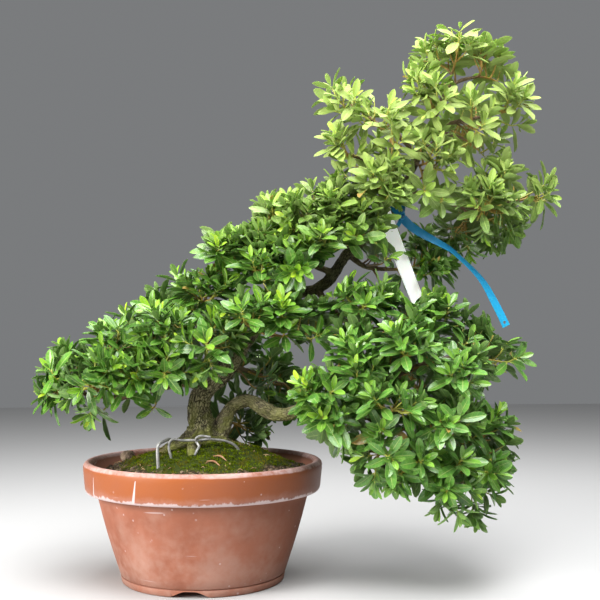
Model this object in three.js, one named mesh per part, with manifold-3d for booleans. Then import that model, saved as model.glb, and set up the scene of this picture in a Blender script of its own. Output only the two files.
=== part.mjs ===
// Satsuki azalea bonsai in its terracotta training pot. Millimetres, +Z up, seen from the front along +Y.
// The plant is laid out from the pot's axis, and at the end it is moved to the middle of its footprint.
import * as THREE from "three";
import { mergeVertices } from "three/addons/utils/BufferGeometryUtils.js";
import Module from "manifold-3d";

const wasm = await Module();
wasm.setup();

// ---------------------------------------------------------------- driving dimensions
const SEAT_GAP = 0.3; // left between two pieces that touch
const BURIED_GAP = 0.5; // left in the soil round roots and wires

const POT = {
  height: 150,
  rimRadius: 150,
  bandHeight: 38,
  bodyTopRadius: 133,
  footRadius: 102,
  footHeight: 9,
  footWidth: 16,
  lipWidth: 12,
  floorTop: 18,
  floorRadius: 92,
  drainRadius: 16,
  sides: 36,
};
const FOOT_NOTCH = { width: 44, crown: 18, rise: 7, depth: 40, angles: [-99, 21, 141] };
const SOIL = {
  crown: 173, // the height of the mound's middle
  fall: 35, // how far it falls over its reach
  reach: 130,
  power: 1.4,
  centreX: 12,
  edgeRadius: 129,
  shoulder: 118,
  wallGap: 0.7,
  sides: 22,
};
const DRAIN_MESH = { radius: 26, thickness: 1.5, bars: 3, pitch: 11, hole: 7 };
const WIRE = { guyRadius: 1.6, pinRadius: 2, sides: 5 };
const LABEL = { length: 140, topWidth: 20, footWidth: 16.5, thickness: 1, corner: 3, lean: 21.5 };
const LABEL_TOP = [226.8, -7, 472.5]; // the middle of the label's upper end
const BAND = { width: 11.5, thickness: 1, ring: 7.8, hole: 2 };
const LEAF = {
  length: 31,
  widthShare: 0.38,
  shoulder: 0.5, // how far along a leaf it is widest
  fold: 0.1,
  droop: 0.14,
  perShoot: 11,
  oldLean: 88, // how far the lowest leaf of a shoot leans from its axis, in degrees
  youngLean: 36,
  leanSpread: 16,
  hub: 1.4, // half the thickness of a whorl at its middle
  notch: 4, // how far from a leaf's midrib it parts from its neighbour
  notchNear: 0.35, // the share of the turn to its neighbour that a leaf's shoulder may take
  notchSpan: 2.2, // the widest turn between two leaves that one notch takes, in radians
  clearance: 0.8, // a leaf grown by this much still meets no other node
};
const WHORLS = { low: [0, 1, 2, 3, 4], high: [5, 6, 7, 8] }; // the leaves of a shoot that each whorl holds
const SHOOT = { perTip: 8, leafy: 15, reach: 28, lateral: 3 };
const STEM = {
  radii: [1.9, 1.9, 1.7, 1.5, 1.3, 1.2, 0.9],
  twigRadii: [1.3, 1.2, 0.9],
  foot: 4,
  stub: 7,
  stubRadius: 2.3,
  forkShare: 0.86, // how stout each further stem of a fork is beside the one before it
};
const GOLDEN_ANGLE = THREE.MathUtils.degToRad(137.5);
const UP = new THREE.Vector3(0, 0, 1);

// Woody parts: [x, y, z, radius] along each one.
const WOOD = {
  base: [[4, 0, 124, 22], [3, -2, 150, 32], [1, -3, 170, 33], [1, -2, 182, 26], [0, -1, 200, 15]],
  trunk: [
    [2, 0, 172, 22], [-2, 0, 190, 17], [-6, 0, 212, 14], [-3, 0, 231, 13], [11, 2, 247, 12.5],
    [27, 5, 262, 12], [46, 8, 290, 11], [68, 8, 324, 10], [89, 4, 349, 8.5], [110, 0, 358, 7.5],
    [129, -4, 362, 7], [145, -6, 367, 7],
    [161, -5, 379, 7.2], [182, 0, 409, 7], [199, 3, 424, 6.8], [214, 4, 436, 6.5], [230, 2, 454, 6.2],
    [244, 0, 472, 6], [255, 0, 488, 5.5], [261, 0, 504, 5], [273, 0, 529, 4.5], [287, 0, 559, 4],
    [300, 0, 591, 3.5],
    [312, 0, 622, 3], [321, 0, 644, 2.6],
  ],
  arch: [
    [12, -4, 168, 15], [22, -6, 188, 11.5], [28, -9, 204, 9.5], [36, -14, 217, 8.5], [49, -20, 224, 8],
    [62, -26, 222, 8.4], [74, -32, 215, 8.8], [88, -38, 209, 8.8], [102, -45, 209, 8], [115, -52, 215, 7],
    [132, -60, 222, 6.4], [153, -68, 230, 5.6],
  ],
  low_left: [
    [-2, 0, 236, 6], [-20, -10, 245, 4.2], [-49, -20, 241, 3.6], [-79, -25, 234, 3.1], [-107, -28, 229, 2.7],
    [-138, -25, 232, 2.3],
  ],
  left: [[46, 8, 290, 6], [14, 0, 303, 4], [-18, -5, 307, 3.4], [-56, -8, 303, 2.9], [-93, -8, 291, 2.3]],
  left_top: [[68, 8, 324, 6], [39, 10, 338, 3.6], [7, 12, 344, 3], [-31, 12, 338, 2.3]],
  left_front: [[66, 8, 322, 6], [73, -15, 313, 3.4], [79, -35, 307, 2.3]],
  left_back: [[46, 8, 290, 6], [24, 42, 300, 3.6], [-12, 62, 305, 3], [-50, 76, 302, 2.3]],
  low_back: [[27, 5, 262, 6], [48, 42, 262, 3.6], [72, 70, 254, 3], [104, 84, 242, 2.3]],
  mid: [
    [166, -4, 386, 5], [145, -8, 394, 3.8], [129, -10, 400, 3.6], [109, -10, 392, 3.2], [81, -8, 386, 2.9],
    [49, -5, 392, 2.6], [26, -5, 405, 2.3],
  ],
  mid_up: [
    [191, 2, 417, 5], [177, 0, 435, 3.6], [154, -5, 447, 3.1], [128, -8, 454, 2.7], [108, -8, 451, 2.3],
  ],
  right_mid: [[186, 0, 412, 5], [206, 6, 397, 3.4], [232, 12, 393, 2.8], [258, 14, 393, 2.3]],
  right_low: [
    [144, -6, 367, 5], [157, -12, 346, 3.8], [177, -25, 328, 3.2], [205, -35, 316, 2.8],
    [239, -40, 313, 2.3],
  ],
  arch_right: [
    [150, -67, 229, 5], [189, -75, 243, 4], [231, -80, 258, 3.4], [275, -75, 274, 2.9],
    [323, -60, 282, 2.3],
  ],
  arch_down: [
    [150, -67, 229, 5], [186, -80, 214, 4], [220, -90, 193, 3.4], [253, -92, 171, 2.9],
    [284, -88, 146, 2.3],
  ],
  right_end: [[246, -92, 176, 3.2], [292, -78, 176, 2.8], [332, -66, 170, 2.3]],
  right_back: [[231, -80, 258, 3.4], [242, -42, 256, 2.8], [266, -2, 246, 2.3]],
  top_left: [[261, 0, 504, 5], [239, -8, 518, 3.2], [212, -12, 530, 2.7], [189, -12, 538, 2.3]],
  top_left2: [[278, 0, 540, 4], [253, -5, 563, 3], [226, -6, 579, 2.6], [203, -5, 596, 2.3]],
  top_right: [
    [256, 0, 490, 5], [286, -5, 491, 3.4], [317, -10, 478, 3], [354, -12, 472, 2.8], [382, -10, 479, 2.5],
    [404, -8, 482, 2.3],
  ],
  top_right2: [[294, 0, 575, 3.6], [326, -5, 585, 2.8], [351, -8, 590, 2.5], [370, -8, 595, 2.3]],
  top_back: [[290, 0, 567, 3.6], [312, 28, 578, 2.8], [346, 50, 576, 2.3]],
  apex: [[316, 0, 632, 2.8], [337, 0, 642, 2.5], [354, 0, 646, 2.3]],
};
const WOOD_SIDES = { base: 8, trunk: 8, arch: 8 };
const BRANCH_SIDES = 4;
const ROOT_SIDES = 5;

// Surface roots that spread from the base and dive into the soil.
const ROOTS = [
  [[-8, -18, 176, 8], [-34, -34, 171, 6], [-56, -44, 164, 5], [-72, -50, 150, 4]],
  [[-12, 4, 174, 8], [-40, 14, 166, 5.5], [-64, 22, 150, 4]],
  [[-6, -24, 172, 7], [-14, -48, 168, 6.5], [-15, -56, 150, 6]],
  [[16, -8, 174, 9], [44, -12, 170, 6.5], [66, -18, 163, 5], [88, -24, 148, 4]],
  [[12, 12, 172, 9], [40, 36, 165, 5], [60, 54, 150, 4]],
];

// Leafy stems: the limb each one grows on, how far along it, where its stems end, and how much they lift.
const SPRAYS = {
  low_left_tip: { on: "low_left", at: 1, tips: [[-177, -20, 243], [-156, 22, 267]], lift: 0.35 },
  low_left_hang: { on: "low_left", at: 0.86, tips: [[-138, -64, 241]], lift: -0.3 },
  low_left_front: { on: "low_left", at: 0.68, tips: [[-97, -66, 255]], lift: 0.4 },
  low_left_inner: { on: "low_left", at: 0.4, tips: [[-46, -66, 262]], lift: 0.1 },
  left_end: { on: "left", at: 1, tips: [[-121, -28, 286]], lift: 0.5 },
  left_face: { on: "left", at: 0.62, tips: [[-46, -60, 295]], lift: 0.5 },
  left_near: { on: "left", at: 0.32, tips: [[3, -78, 289]], lift: 0.4 },
  left_top_end: { on: "left_top", at: 1, tips: [[-59, 18, 331]], lift: 0.55 },
  left_top_face: { on: "left_top", at: 0.62, tips: [[-2, -24, 348]], lift: 0.6 },
  left_front: {
    on: "left_front", at: 1, tips: [[44, -70, 323], [98, -68, 328], [145, -50, 311]], lift: 0.55,
  },
  left_back: { on: "left_back", at: 1, tips: [[-95, 88, 304], [-44, 116, 322]], lift: 0.5 },
  left_back_inner: { on: "left_back", at: 0.42, tips: [[38, 92, 302]], lift: 0.5 },
  low_back: { on: "low_back", at: 1, tips: [[88, 110, 237], [132, 98, 214]], lift: 0.4 },
  base_back: { on: "arch", at: 0.16, tips: [[47, 42, 190]], lift: 0.2 },
  mid_end: { on: "mid", at: 1, tips: [[12, -10, 397]], lift: 0.55 },
  mid_top: { on: "mid", at: 0.78, tips: [[54, -30, 411], [73, -50, 370]], lift: 0.6 },
  mid_face: { on: "mid", at: 0.42, tips: [[110, -60, 397], [160, -56, 412]], lift: 0.5 },
  mid_up_end: { on: "mid_up", at: 1, tips: [[83, -10, 448]], lift: 0.6 },
  mid_up_face: { on: "mid_up", at: 0.72, tips: [[129, -40, 448]], lift: 0.6 },
  mid_up_near: { on: "mid_up", at: 0.4, tips: [[174, -42, 461], [201, -50, 428]], lift: 0.55 },
  mid_up_back: { on: "mid_up", at: 0.6, tips: [[123, 66, 435]], lift: 0.5 },
  top_left_end: { on: "top_left", at: 1, tips: [[177, -20, 538]], lift: 0.5 },
  top_left_face: { on: "top_left", at: 0.5, tips: [[209, -58, 499], [219, -44, 461]], lift: 0.45 },
  top_left2_end: { on: "top_left2", at: 1, tips: [[176, -10, 594]], lift: 0.6 },
  top_left2_face: { on: "top_left2", at: 0.5, tips: [[209, -44, 575], [238, -54, 541]], lift: 0.6 },
  crown_left: { on: "trunk", at: 1, tips: [[302, 8, 665], [328, -20, 682]], lift: 0.6 },
  crown_right: { on: "apex", at: 1, tips: [[366, -4, 670], [404, 20, 643]], lift: 0.6 },
  crown_face: { on: "trunk", at: 0.9, tips: [[296, -54, 592], [272, -30, 628]], lift: 0.5 },
  neck_face: { on: "trunk", at: 0.8, tips: [[285, -60, 530], [275, -46, 490]], lift: 0.45 },
  top_right2_end: { on: "top_right2", at: 1, tips: [[395, -10, 599]], lift: 0.55 },
  top_right2_face: { on: "top_right2", at: 0.5, tips: [[344, -52, 563]], lift: 0.5 },
  top_right_end: { on: "top_right", at: 1, tips: [[429, -12, 481]], lift: 0.45 },
  top_right_face: { on: "top_right", at: 0.68, tips: [[375, -48, 498], [350, -44, 463]], lift: 0.55 },
  top_right_under: { on: "top_right", at: 0.5, tips: [[342, 24, 439], [398, 12, 446]], lift: 0 },
  top_back: { on: "top_back", at: 1, tips: [[383, 62, 553], [352, 88, 592]], lift: 0.5 },
  right_mid_end: { on: "right_mid", at: 1, tips: [[291, 16, 403]], lift: 0.4 },
  right_low_face: { on: "right_low", at: 0.5, tips: [[188, -66, 340]], lift: 0.6 },
  right_low_end: { on: "right_low", at: 1, tips: [[249, -60, 328], [299, -50, 316]], lift: 0.6 },
  arch_front: { on: "arch", at: 0.9, tips: [[143, -106, 237], [155, -92, 189]], lift: 0.4 },
  arch_right_near: { on: "arch_right", at: 0.2, tips: [[176, -96, 290], [185, -112, 242]], lift: 0.5 },
  arch_right_face: { on: "arch_right", at: 0.5, tips: [[243, -118, 288]], lift: 0.5 },
  arch_right_outer: { on: "arch_right", at: 0.78, tips: [[306, -112, 247]], lift: 0.4 },
  arch_right_end: { on: "arch_right", at: 1, tips: [[339, -24, 290], [376, -42, 268]], lift: 0.45 },
  arch_down_face: { on: "arch_down", at: 0.42, tips: [[221, -136, 223]], lift: 0.4 },
  arch_down_outer: { on: "arch_down", at: 0.72, tips: [[288, -126, 208]], lift: 0.35 },
  arch_down_under: { on: "arch_down", at: 0.6, tips: [[197, -112, 160], [244, -118, 148]], lift: 0 },
  arch_down_end: { on: "arch_down", at: 1, tips: [[284, -118, 122], [337, -84, 109]], lift: 0 },
  right_end: { on: "right_end", at: 1, tips: [[358, -66, 145], [359, -52, 188]], lift: 0.2 },
  right_back: { on: "right_back", at: 1, tips: [[269, 42, 258], [317, 22, 214]], lift: 0.4 },
};

// Bonsai wire: one wire guys the trunk's base to the pot, twisted in front of it, and one pins a root down.
const GUY_WIRE = [
  [-38, -62, 132], [-38, -62, 152], [-42, -61, 170], [-41, -59, 178], [-36, -57, 180.5], [-26, -54, 179],
  [-10, -53, 179],
  [6, -52, 180], [14, -50, 179], [26, -46, 177], [37, -44, 172], [44, -42, 162], [47, -41, 142],
];
const GUY_TWIST = [
  [8, -53, 182.5], [-3, -54, 184], [-9, -56, 182], [-9, -53.5, 177], [-6, -56, 172], [-8, -60, 168],
  [-11, -63, 162],
];
const PIN_WIRE = [
  [-54, -76, 126], [-54, -76, 146], [-55, -75, 168], [-54, -71, 176], [-49, -60, 178.5], [-42, -36, 178.5],
  [-42, -27, 173], [-43, -24, 158], [-43, -24, 138],
];
const PELLET = { radius: 9, x: -98, y: 40 };
const FALLEN_LEAVES = [
  { from: [3, -80], to: [19, -90], rest: 0.95, rise: 5 },
  { from: [11, -68], to: [27, -76], rest: 0.7, rise: 5 },
];

// The tie band's tail: [x, z, twist in degrees from facing the front].
const BAND_DEPTH = -17;
const BAND_TAIL = [
  [254, 457, 0], [265, 446, 5], [281, 436, 30], [298, 427, 62], [316, 417, 80], [330, 405, 72],
  [343, 393, 62],
  [355, 380, 54], [364, 367, 48], [372, 352, 40], [381, 335, 34], [389, 318, 30],
];

// ---------------------------------------------------------------- helpers
const vector = ([x, y, z]) => new THREE.Vector3(x, y, z);

/** A repeatable number from 0 to 1 for a whole-number key. */
function draw(key) {
  const wave = Math.sin(key * 12.9898 + 4.1414) * 43758.5453;
  return wave - Math.floor(wave);
}

/** A three.js geometry as a manifold-3d solid. */
function solid(geometry) {
  const bare = new THREE.BufferGeometry().setAttribute("position", geometry.getAttribute("position"));
  bare.setIndex(geometry.index);
  const merged = mergeVertices(bare, 1e-4);
  return new wasm.Manifold(
    new wasm.Mesh({
      numProp: 3,
      vertProperties: new Float32Array(merged.getAttribute("position").array),
      triVerts: new Uint32Array(merged.index.array),
    }),
  );
}

/** A solid from its corner points and its triangles, whichever way round they were listed. */
function facets(points, triangles) {
  const geometry = new THREE.BufferGeometry();
  const places = points.flatMap((point) => point.toArray());
  geometry.setAttribute("position", new THREE.Float32BufferAttribute(places, 3));
  geometry.setIndex(triangles.flat());
  const body = solid(geometry);
  if (body.volume() > 0) return body;
  geometry.setIndex(triangles.flatMap(([a, b, c]) => [a, c, b]));
  return solid(geometry);
}

/** A manifold-3d solid as a three.js geometry. */
function geometryOf(body) {
  const mesh = body.getMesh();
  const geometry = new THREE.BufferGeometry();
  geometry.setAttribute("position", new THREE.BufferAttribute(mesh.vertProperties, 3));
  geometry.setIndex(new THREE.BufferAttribute(mesh.triVerts, 1));
  geometry.computeVertexNormals();
  return geometry;
}

/** All the solids of a list in one. */
function join(solids) {
  return solids.reduce((whole, next) => whole.add(next));
}

/** The main skin of a fused solid: a pocket that the fusing sealed is filled, a loose scrap left out. */
function mainSkin(body) {
  const skins = solid(geometryOf(body)).decompose();
  return skins.reduce((main, skin) => (skin.volume() > main.volume() ? skin : main));
}

/** Two unit vectors square to a direction. */
function across(direction) {
  const helper = Math.abs(direction.z) < 0.9 ? UP : new THREE.Vector3(1, 0, 0);
  const first = new THREE.Vector3().crossVectors(helper, direction).normalize();
  return [first, new THREE.Vector3().crossVectors(direction, first)];
}

/** The way a line of points heads at one of them. */
function heading(points, i) {
  return points[Math.min(i + 1, points.length - 1)].clone().sub(points[Math.max(i - 1, 0)]).normalize();
}

/** A ring's frame square to a way, as near as can be to a side: u, v and the way, right-handed. */
function squareTo(way, side) {
  const u = side.clone().addScaledVector(way, -side.dot(way)).normalize();
  return { u, v: new THREE.Vector3().crossVectors(way, u), way };
}

/** A ring's frame at each point of a line, carried along without twist. */
function framesOf(points) {
  const frames = [];
  points.forEach((_, i) => {
    const way = heading(points, i);
    frames.push(squareTo(way, i === 0 ? across(way)[0] : frames[i - 1].u));
  });
  return frames;
}

/** A closed tube through a list of points, with a radius at each and flat ends. */
function tube(points, radii, sides) {
  const geometry = new THREE.CylinderGeometry(1, 1, 1, sides, points.length - 1);
  const position = geometry.getAttribute("position");
  const frames = framesOf(points);
  for (let i = 0; i < position.count; i++) {
    const ring = Math.round((position.getY(i) + 0.5) * (points.length - 1));
    const point = points[ring].clone();
    point.addScaledVector(frames[ring].u, position.getX(i) * radii[ring]);
    point.addScaledVector(frames[ring].v, -position.getZ(i) * radii[ring]);
    position.setXYZ(i, point.x, point.y, point.z);
  }
  return solid(geometry);
}

/** A woody limb from its [x, y, z, radius] points, grown all round by an amount. */
function limb(points, sides, grown = 0) {
  return tube(points.map(vector), points.map(([, , , radius]) => radius + grown), sides);
}

/** A bent wire through its points. */
function wire(points, radius) {
  return tube(points.map(vector), points.map(() => radius), WIRE.sides);
}

/** A profile of [radius, height] points turned about Z. */
function turned(profile, sides) {
  const lathe = new THREE.LatheGeometry(profile.map(([radius, z]) => new THREE.Vector2(radius, z)), sides);
  return lathe.rotateX(Math.PI / 2);
}

/** A mesh with its own name and finish. */
function piece(name, body, finish) {
  const mesh = new THREE.Mesh(geometryOf(body), new THREE.MeshStandardMaterial(finish));
  mesh.name = name;
  return mesh;
}

// ---------------------------------------------------------------- pot, soil and what lies in them
/** The radius of the pot's inner wall at a height. */
function innerRadius(z) {
  const top = POT.rimRadius - POT.lipWidth - 2;
  return THREE.MathUtils.mapLinear(z, POT.floorTop, POT.height - 4, POT.floorRadius, top);
}

function potSolid() {
  const { height, rimRadius, footRadius, footHeight, footWidth, drainRadius, floorTop } = POT;
  const bandFoot = height - POT.bandHeight;
  const profile = [
    [drainRadius, footHeight - 1], [footRadius - footWidth, footHeight - 1], [footRadius - footWidth + 1, 0],
    [footRadius - 1.5, 0], [footRadius + 1, footHeight - 1.5], [footRadius - 0.6, footHeight],
    [footRadius + 1.4, footHeight + 1.2], [POT.bodyTopRadius, bandFoot - 1], [rimRadius - 5, bandFoot],
    [rimRadius - 2, bandFoot + 4], [rimRadius, height - 7], [rimRadius - 4, height - 1],
    [rimRadius - POT.lipWidth, height - 1], [innerRadius(height - 5), height - 5],
    [POT.floorRadius, floorTop],
    [drainRadius, floorTop], [drainRadius, footHeight - 1],
  ];
  const { width, crown, rise, depth, angles } = FOOT_NOTCH;
  const [side, shoulder] = [width / 2 + 1, crown / 2 + 4];
  const arch = new THREE.Shape();
  arch.moveTo(-side, -1);
  arch.lineTo(side, -1);
  arch.quadraticCurveTo(side - 6, rise * 0.2, shoulder, rise * 0.75);
  arch.quadraticCurveTo(0, rise * 1.3, -shoulder, rise * 0.75);
  arch.quadraticCurveTo(6 - side, rise * 0.2, -side, -1);
  const cutter = new THREE.ExtrudeGeometry(arch, { depth, bevelEnabled: false, curveSegments: 2 });
  cutter.rotateX(Math.PI / 2);
  cutter.rotateZ(Math.PI / 2);
  cutter.translate(footRadius - depth * 0.7, 0, 0);
  return angles.reduce(
    (pot, degrees) => pot.subtract(solid(cutter.clone().rotateZ(THREE.MathUtils.degToRad(degrees)))),
    solid(turned(profile, POT.sides)),
  );
}

/** The height of the mossy mound over a point. */
function soilTop(x, y) {
  const out = Math.hypot(x - SOIL.centreX, y);
  const lumps = 1.6 * Math.sin(x / 9) * Math.cos(y / 11) + 1.2 * Math.sin((x + y) / 17);
  return SOIL.crown - SOIL.fall * (out / SOIL.reach) ** SOIL.power + lumps;
}

function soilSolid(cuts) {
  const bottom = POT.floorTop + SEAT_GAP;
  const profile = [[0, bottom], [innerRadius(bottom) - SOIL.wallGap, bottom]];
  profile.push([innerRadius(SOIL.shoulder) - SOIL.wallGap, SOIL.shoulder]);
  for (const share of [1, 0.84, 0.66, 0.48, 0.3, 0]) profile.push([SOIL.edgeRadius * share, POT.height]);
  const lathe = turned(profile, SOIL.sides);
  const position = lathe.getAttribute("position");
  for (let i = 0; i < position.count; i++)
    if (position.getZ(i) > SOIL.shoulder + 1) position.setZ(i, soilTop(position.getX(i), position.getY(i)));
  const { radius, thickness } = DRAIN_MESH;
  const recess = new THREE.CylinderGeometry(radius + 1, radius + 1, 2 * thickness + 2, 16);
  const cutters = [...cuts, solid(recess.rotateX(Math.PI / 2).translate(0, 0, bottom))];
  return cutters.reduce((soil, cut) => soil.subtract(cut), solid(lathe));
}

function drainMeshSolid() {
  const { radius, thickness, bars, pitch, hole } = DRAIN_MESH;
  let sheet = solid(new THREE.CylinderGeometry(radius, radius, thickness, 16).rotateX(Math.PI / 2));
  const first = (-(bars - 1) * pitch) / 2;
  for (let i = 0; i < bars; i++)
    for (let j = 0; j < bars; j++) {
      const [x, y] = [first + i * pitch, first + j * pitch];
      if (Math.hypot(x, y) > radius - hole) continue;
      sheet = sheet.subtract(solid(new THREE.BoxGeometry(hole, hole, thickness * 2).translate(x, y, 0)));
    }
  return sheet.translate([0, 0, POT.floorTop + SEAT_GAP + thickness / 2]);
}

function pelletSolid(grown = 0) {
  const { radius, x, y } = PELLET;
  const lump = new THREE.BufferGeometry();
  lump.setAttribute("position", new THREE.IcosahedronGeometry(radius, 1).getAttribute("position"));
  const merged = mergeVertices(lump, 1e-3);
  const position = merged.getAttribute("position");
  for (let i = 0; i < position.count; i++) {
    const swell = 0.86 + 0.28 * draw(900 + i) + grown / radius;
    const [x, y, z] = [position.getX(i), position.getY(i), position.getZ(i)];
    position.setXYZ(i, x * swell * 1.1, y * swell, z * swell * 0.85);
  }
  return solid(merged.translate(x, y, soilTop(x, y) + radius * 0.8));
}

/** A dry, rolled leaf that lies on the mound. */
function fallenLeafSolid({ from, to, rest, rise }) {
  const on = ([x, y], above) => new THREE.Vector3(x, y, soilTop(x, y) + above);
  const middle = [(from[0] + to[0]) / 2, (from[1] + to[1]) / 2];
  const points = new THREE.QuadraticBezierCurve3(on(from, rest), on(middle, rise), on(to, rest)).getPoints(5);
  return tube(points, points.map((_, i) => 0.5 + 0.8 * Math.sin((Math.PI * i) / 5)), 5);
}

// ---------------------------------------------------------------- name label and tie band
/** The plain plastic label: its upper end lies on the trunk's neck, and it hangs down to the right. */
function labelSolid() {
  const { length, topWidth, footWidth, thickness, corner, lean } = LABEL;
  const [top, foot] = [topWidth / 2, footWidth / 2];
  const outline = new THREE.Shape();
  outline.moveTo(-top, 0);
  outline.lineTo(-top + corner, corner);
  outline.lineTo(top - corner, corner);
  outline.lineTo(top, 0);
  outline.lineTo(foot, corner - length);
  outline.lineTo(-foot, corner - length);
  const plate = new THREE.ExtrudeGeometry(outline, { depth: thickness, bevelEnabled: false });
  plate.rotateX(Math.PI / 2).rotateY(THREE.MathUtils.degToRad(-lean));
  return solid(plate.translate(...LABEL_TOP));
}

/** A closed strip along a path, with its width along a side vector at each point. */
function strip(path, sides, width, thickness) {
  const points = [];
  path.forEach((point, i) => {
    const along = heading(path, i);
    const side = sides[i].clone().addScaledVector(along, -sides[i].dot(along)).setLength(width / 2);
    const face = new THREE.Vector3().crossVectors(along, side).setLength(thickness / 2);
    for (const [a, b] of [[-1, -1], [1, -1], [1, 1], [-1, 1]])
      points.push(point.clone().addScaledVector(side, a).addScaledVector(face, b));
  });
  const last = points.length - 4;
  const triangles = [[0, 1, 2], [0, 2, 3], [last, last + 2, last + 1], [last, last + 3, last + 2]];
  for (let i = 0; i < last; i++) {
    const next = i % 4 === 3 ? i - 3 : i + 1;
    // the upper face is cut along the same diagonals as the lower one, so that a twist keeps them apart
    if (i % 4 === 2) triangles.push([i, i + 4, next + 4], [i, next + 4, next]);
    else triangles.push([i, i + 4, next], [next, i + 4, next + 4]);
  }
  return facets(points, triangles);
}

/** The tie band: a loop round the trunk's neck, its knot and short end, and a tail that reaches out. */
function tieBandSolid() {
  const centre = new THREE.Vector3(250, -0.5, 481);
  const trunkWay = new THREE.Vector3(0.57, 0, 0.82);
  const toRight = new THREE.Vector3(0.82, 0, -0.57);
  const toBack = new THREE.Vector3(0, 1, 0);
  const knot = new THREE.Vector3(253, -14.5, 460);
  const loop = [-20, 25, 70, 115, 160, 205].map((degrees) => {
    const angle = THREE.MathUtils.degToRad(degrees);
    const spoke = toRight.clone().multiplyScalar(Math.cos(angle)).addScaledVector(toBack, Math.sin(angle));
    return centre.clone().addScaledVector(spoke, BAND.ring);
  });
  loop.unshift(knot.clone(), new THREE.Vector3(256.5, -8.5, 470));
  loop.push(new THREE.Vector3(243.5, -10, 474), knot.clone());
  const loopSides = loop.map(() => trunkWay);
  loopSides[0] = loopSides[loop.length - 1] = new THREE.Vector3(0.75, 0, 0.66);
  const tail = BAND_TAIL.map(([x, z]) => new THREE.Vector3(x, BAND_DEPTH, z));
  tail[0].y = knot.y;
  const tailSides = BAND_TAIL.map(([, , twist], i) => {
    const way = heading(tail, i);
    const turn = THREE.MathUtils.degToRad(twist);
    const up = new THREE.Vector3(-way.z, 0, way.x).multiplyScalar(Math.cos(turn));
    return up.addScaledVector(toBack, Math.sin(turn));
  });
  const shortEnd = [knot.clone(), new THREE.Vector3(249.5, -16, 451), new THREE.Vector3(246.5, -16, 446)];
  const hole = new THREE.CylinderGeometry(BAND.hole, BAND.hole, 12, 8);
  const end = tail[tail.length - 1].clone().lerp(tail[tail.length - 2], 0.3);
  return join([
    strip(loop.slice(0, 6), loopSides.slice(0, 6), 5, BAND.thickness),
    strip(loop.slice(5), loopSides.slice(5), BAND.width, BAND.thickness),
    strip(tail, tailSides, BAND.width, BAND.thickness),
    strip(shortEnd, shortEnd.map(() => toRight), 5, BAND.thickness),
    solid(new THREE.IcosahedronGeometry(4.4, 0).translate(knot.x, knot.y, knot.z)),
  ]).subtract(solid(hole.translate(end.x, end.y, end.z)));
}

// ---------------------------------------------------------------- leaves and leafy stems
/** Where on a leaf a point lies: a share of its length, and a distance to its side and over its face. */
function leafPoint({ root, along, face, length }, share, aside, above) {
  const side = new THREE.Vector3().crossVectors(face, along);
  return root
    .clone()
    .addScaledVector(along, share * length)
    .addScaledVector(side, aside)
    .addScaledVector(face, above - LEAF.droop * length * share * share);
}

/** The outline of a whorl of leaves round its hub, in turning order, each point with its bearing. */
function whorlOutline(leaves, hub, { u, v }, grown = 0) {
  const bearing = (point) => Math.atan2(point.clone().sub(hub).dot(v), point.clone().sub(hub).dot(u));
  const ordered = leaves.map((leaf) => ({ leaf, angle: bearing(leafPoint(leaf, 1, 0, 0)) }));
  ordered.sort((a, b) => a.angle - b.angle);
  const outline = [];
  ordered.forEach(({ leaf, angle }, i) => {
    const gapAfter = (ordered[i + 1]?.angle ?? ordered[0].angle + 2 * Math.PI) - angle;
    const gapBefore = angle - (ordered[i - 1]?.angle ?? ordered[ordered.length - 1].angle - 2 * Math.PI);
    const middle = leafPoint(leaf, LEAF.shoulder, 0, 0).sub(hub);
    const radial = Math.hypot(middle.dot(u), middle.dot(v));
    const shoulder = (turn, gap) => {
      const half = Math.min((leaf.width + grown) / 2, radial * Math.tan(Math.min(LEAF.notchNear * gap, 1)));
      const point = leafPoint(leaf, LEAF.shoulder, turn * half, LEAF.fold * leaf.width);
      return { point, angle: angle + turn * Math.atan2(half, radial) };
    };
    outline.push(shoulder(-1, gapBefore));
    outline.push({ point: leafPoint(leaf, 1 + grown / leaf.length, 0, 0), angle });
    outline.push(shoulder(1, gapAfter));
    const notches = Math.ceil(gapAfter / LEAF.notchSpan);
    for (let n = 0; n < notches; n++) {
      const half = gapAfter / notches / 2;
      const turn = angle + half * (2 * n + 1);
      const spoke = u.clone().multiplyScalar(Math.cos(turn)).addScaledVector(v, Math.sin(turn));
      outline.push({ point: hub.clone().addScaledVector(spoke, LEAF.notch / Math.sin(half)), angle: turn });
    }
  });
  return outline;
}

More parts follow.
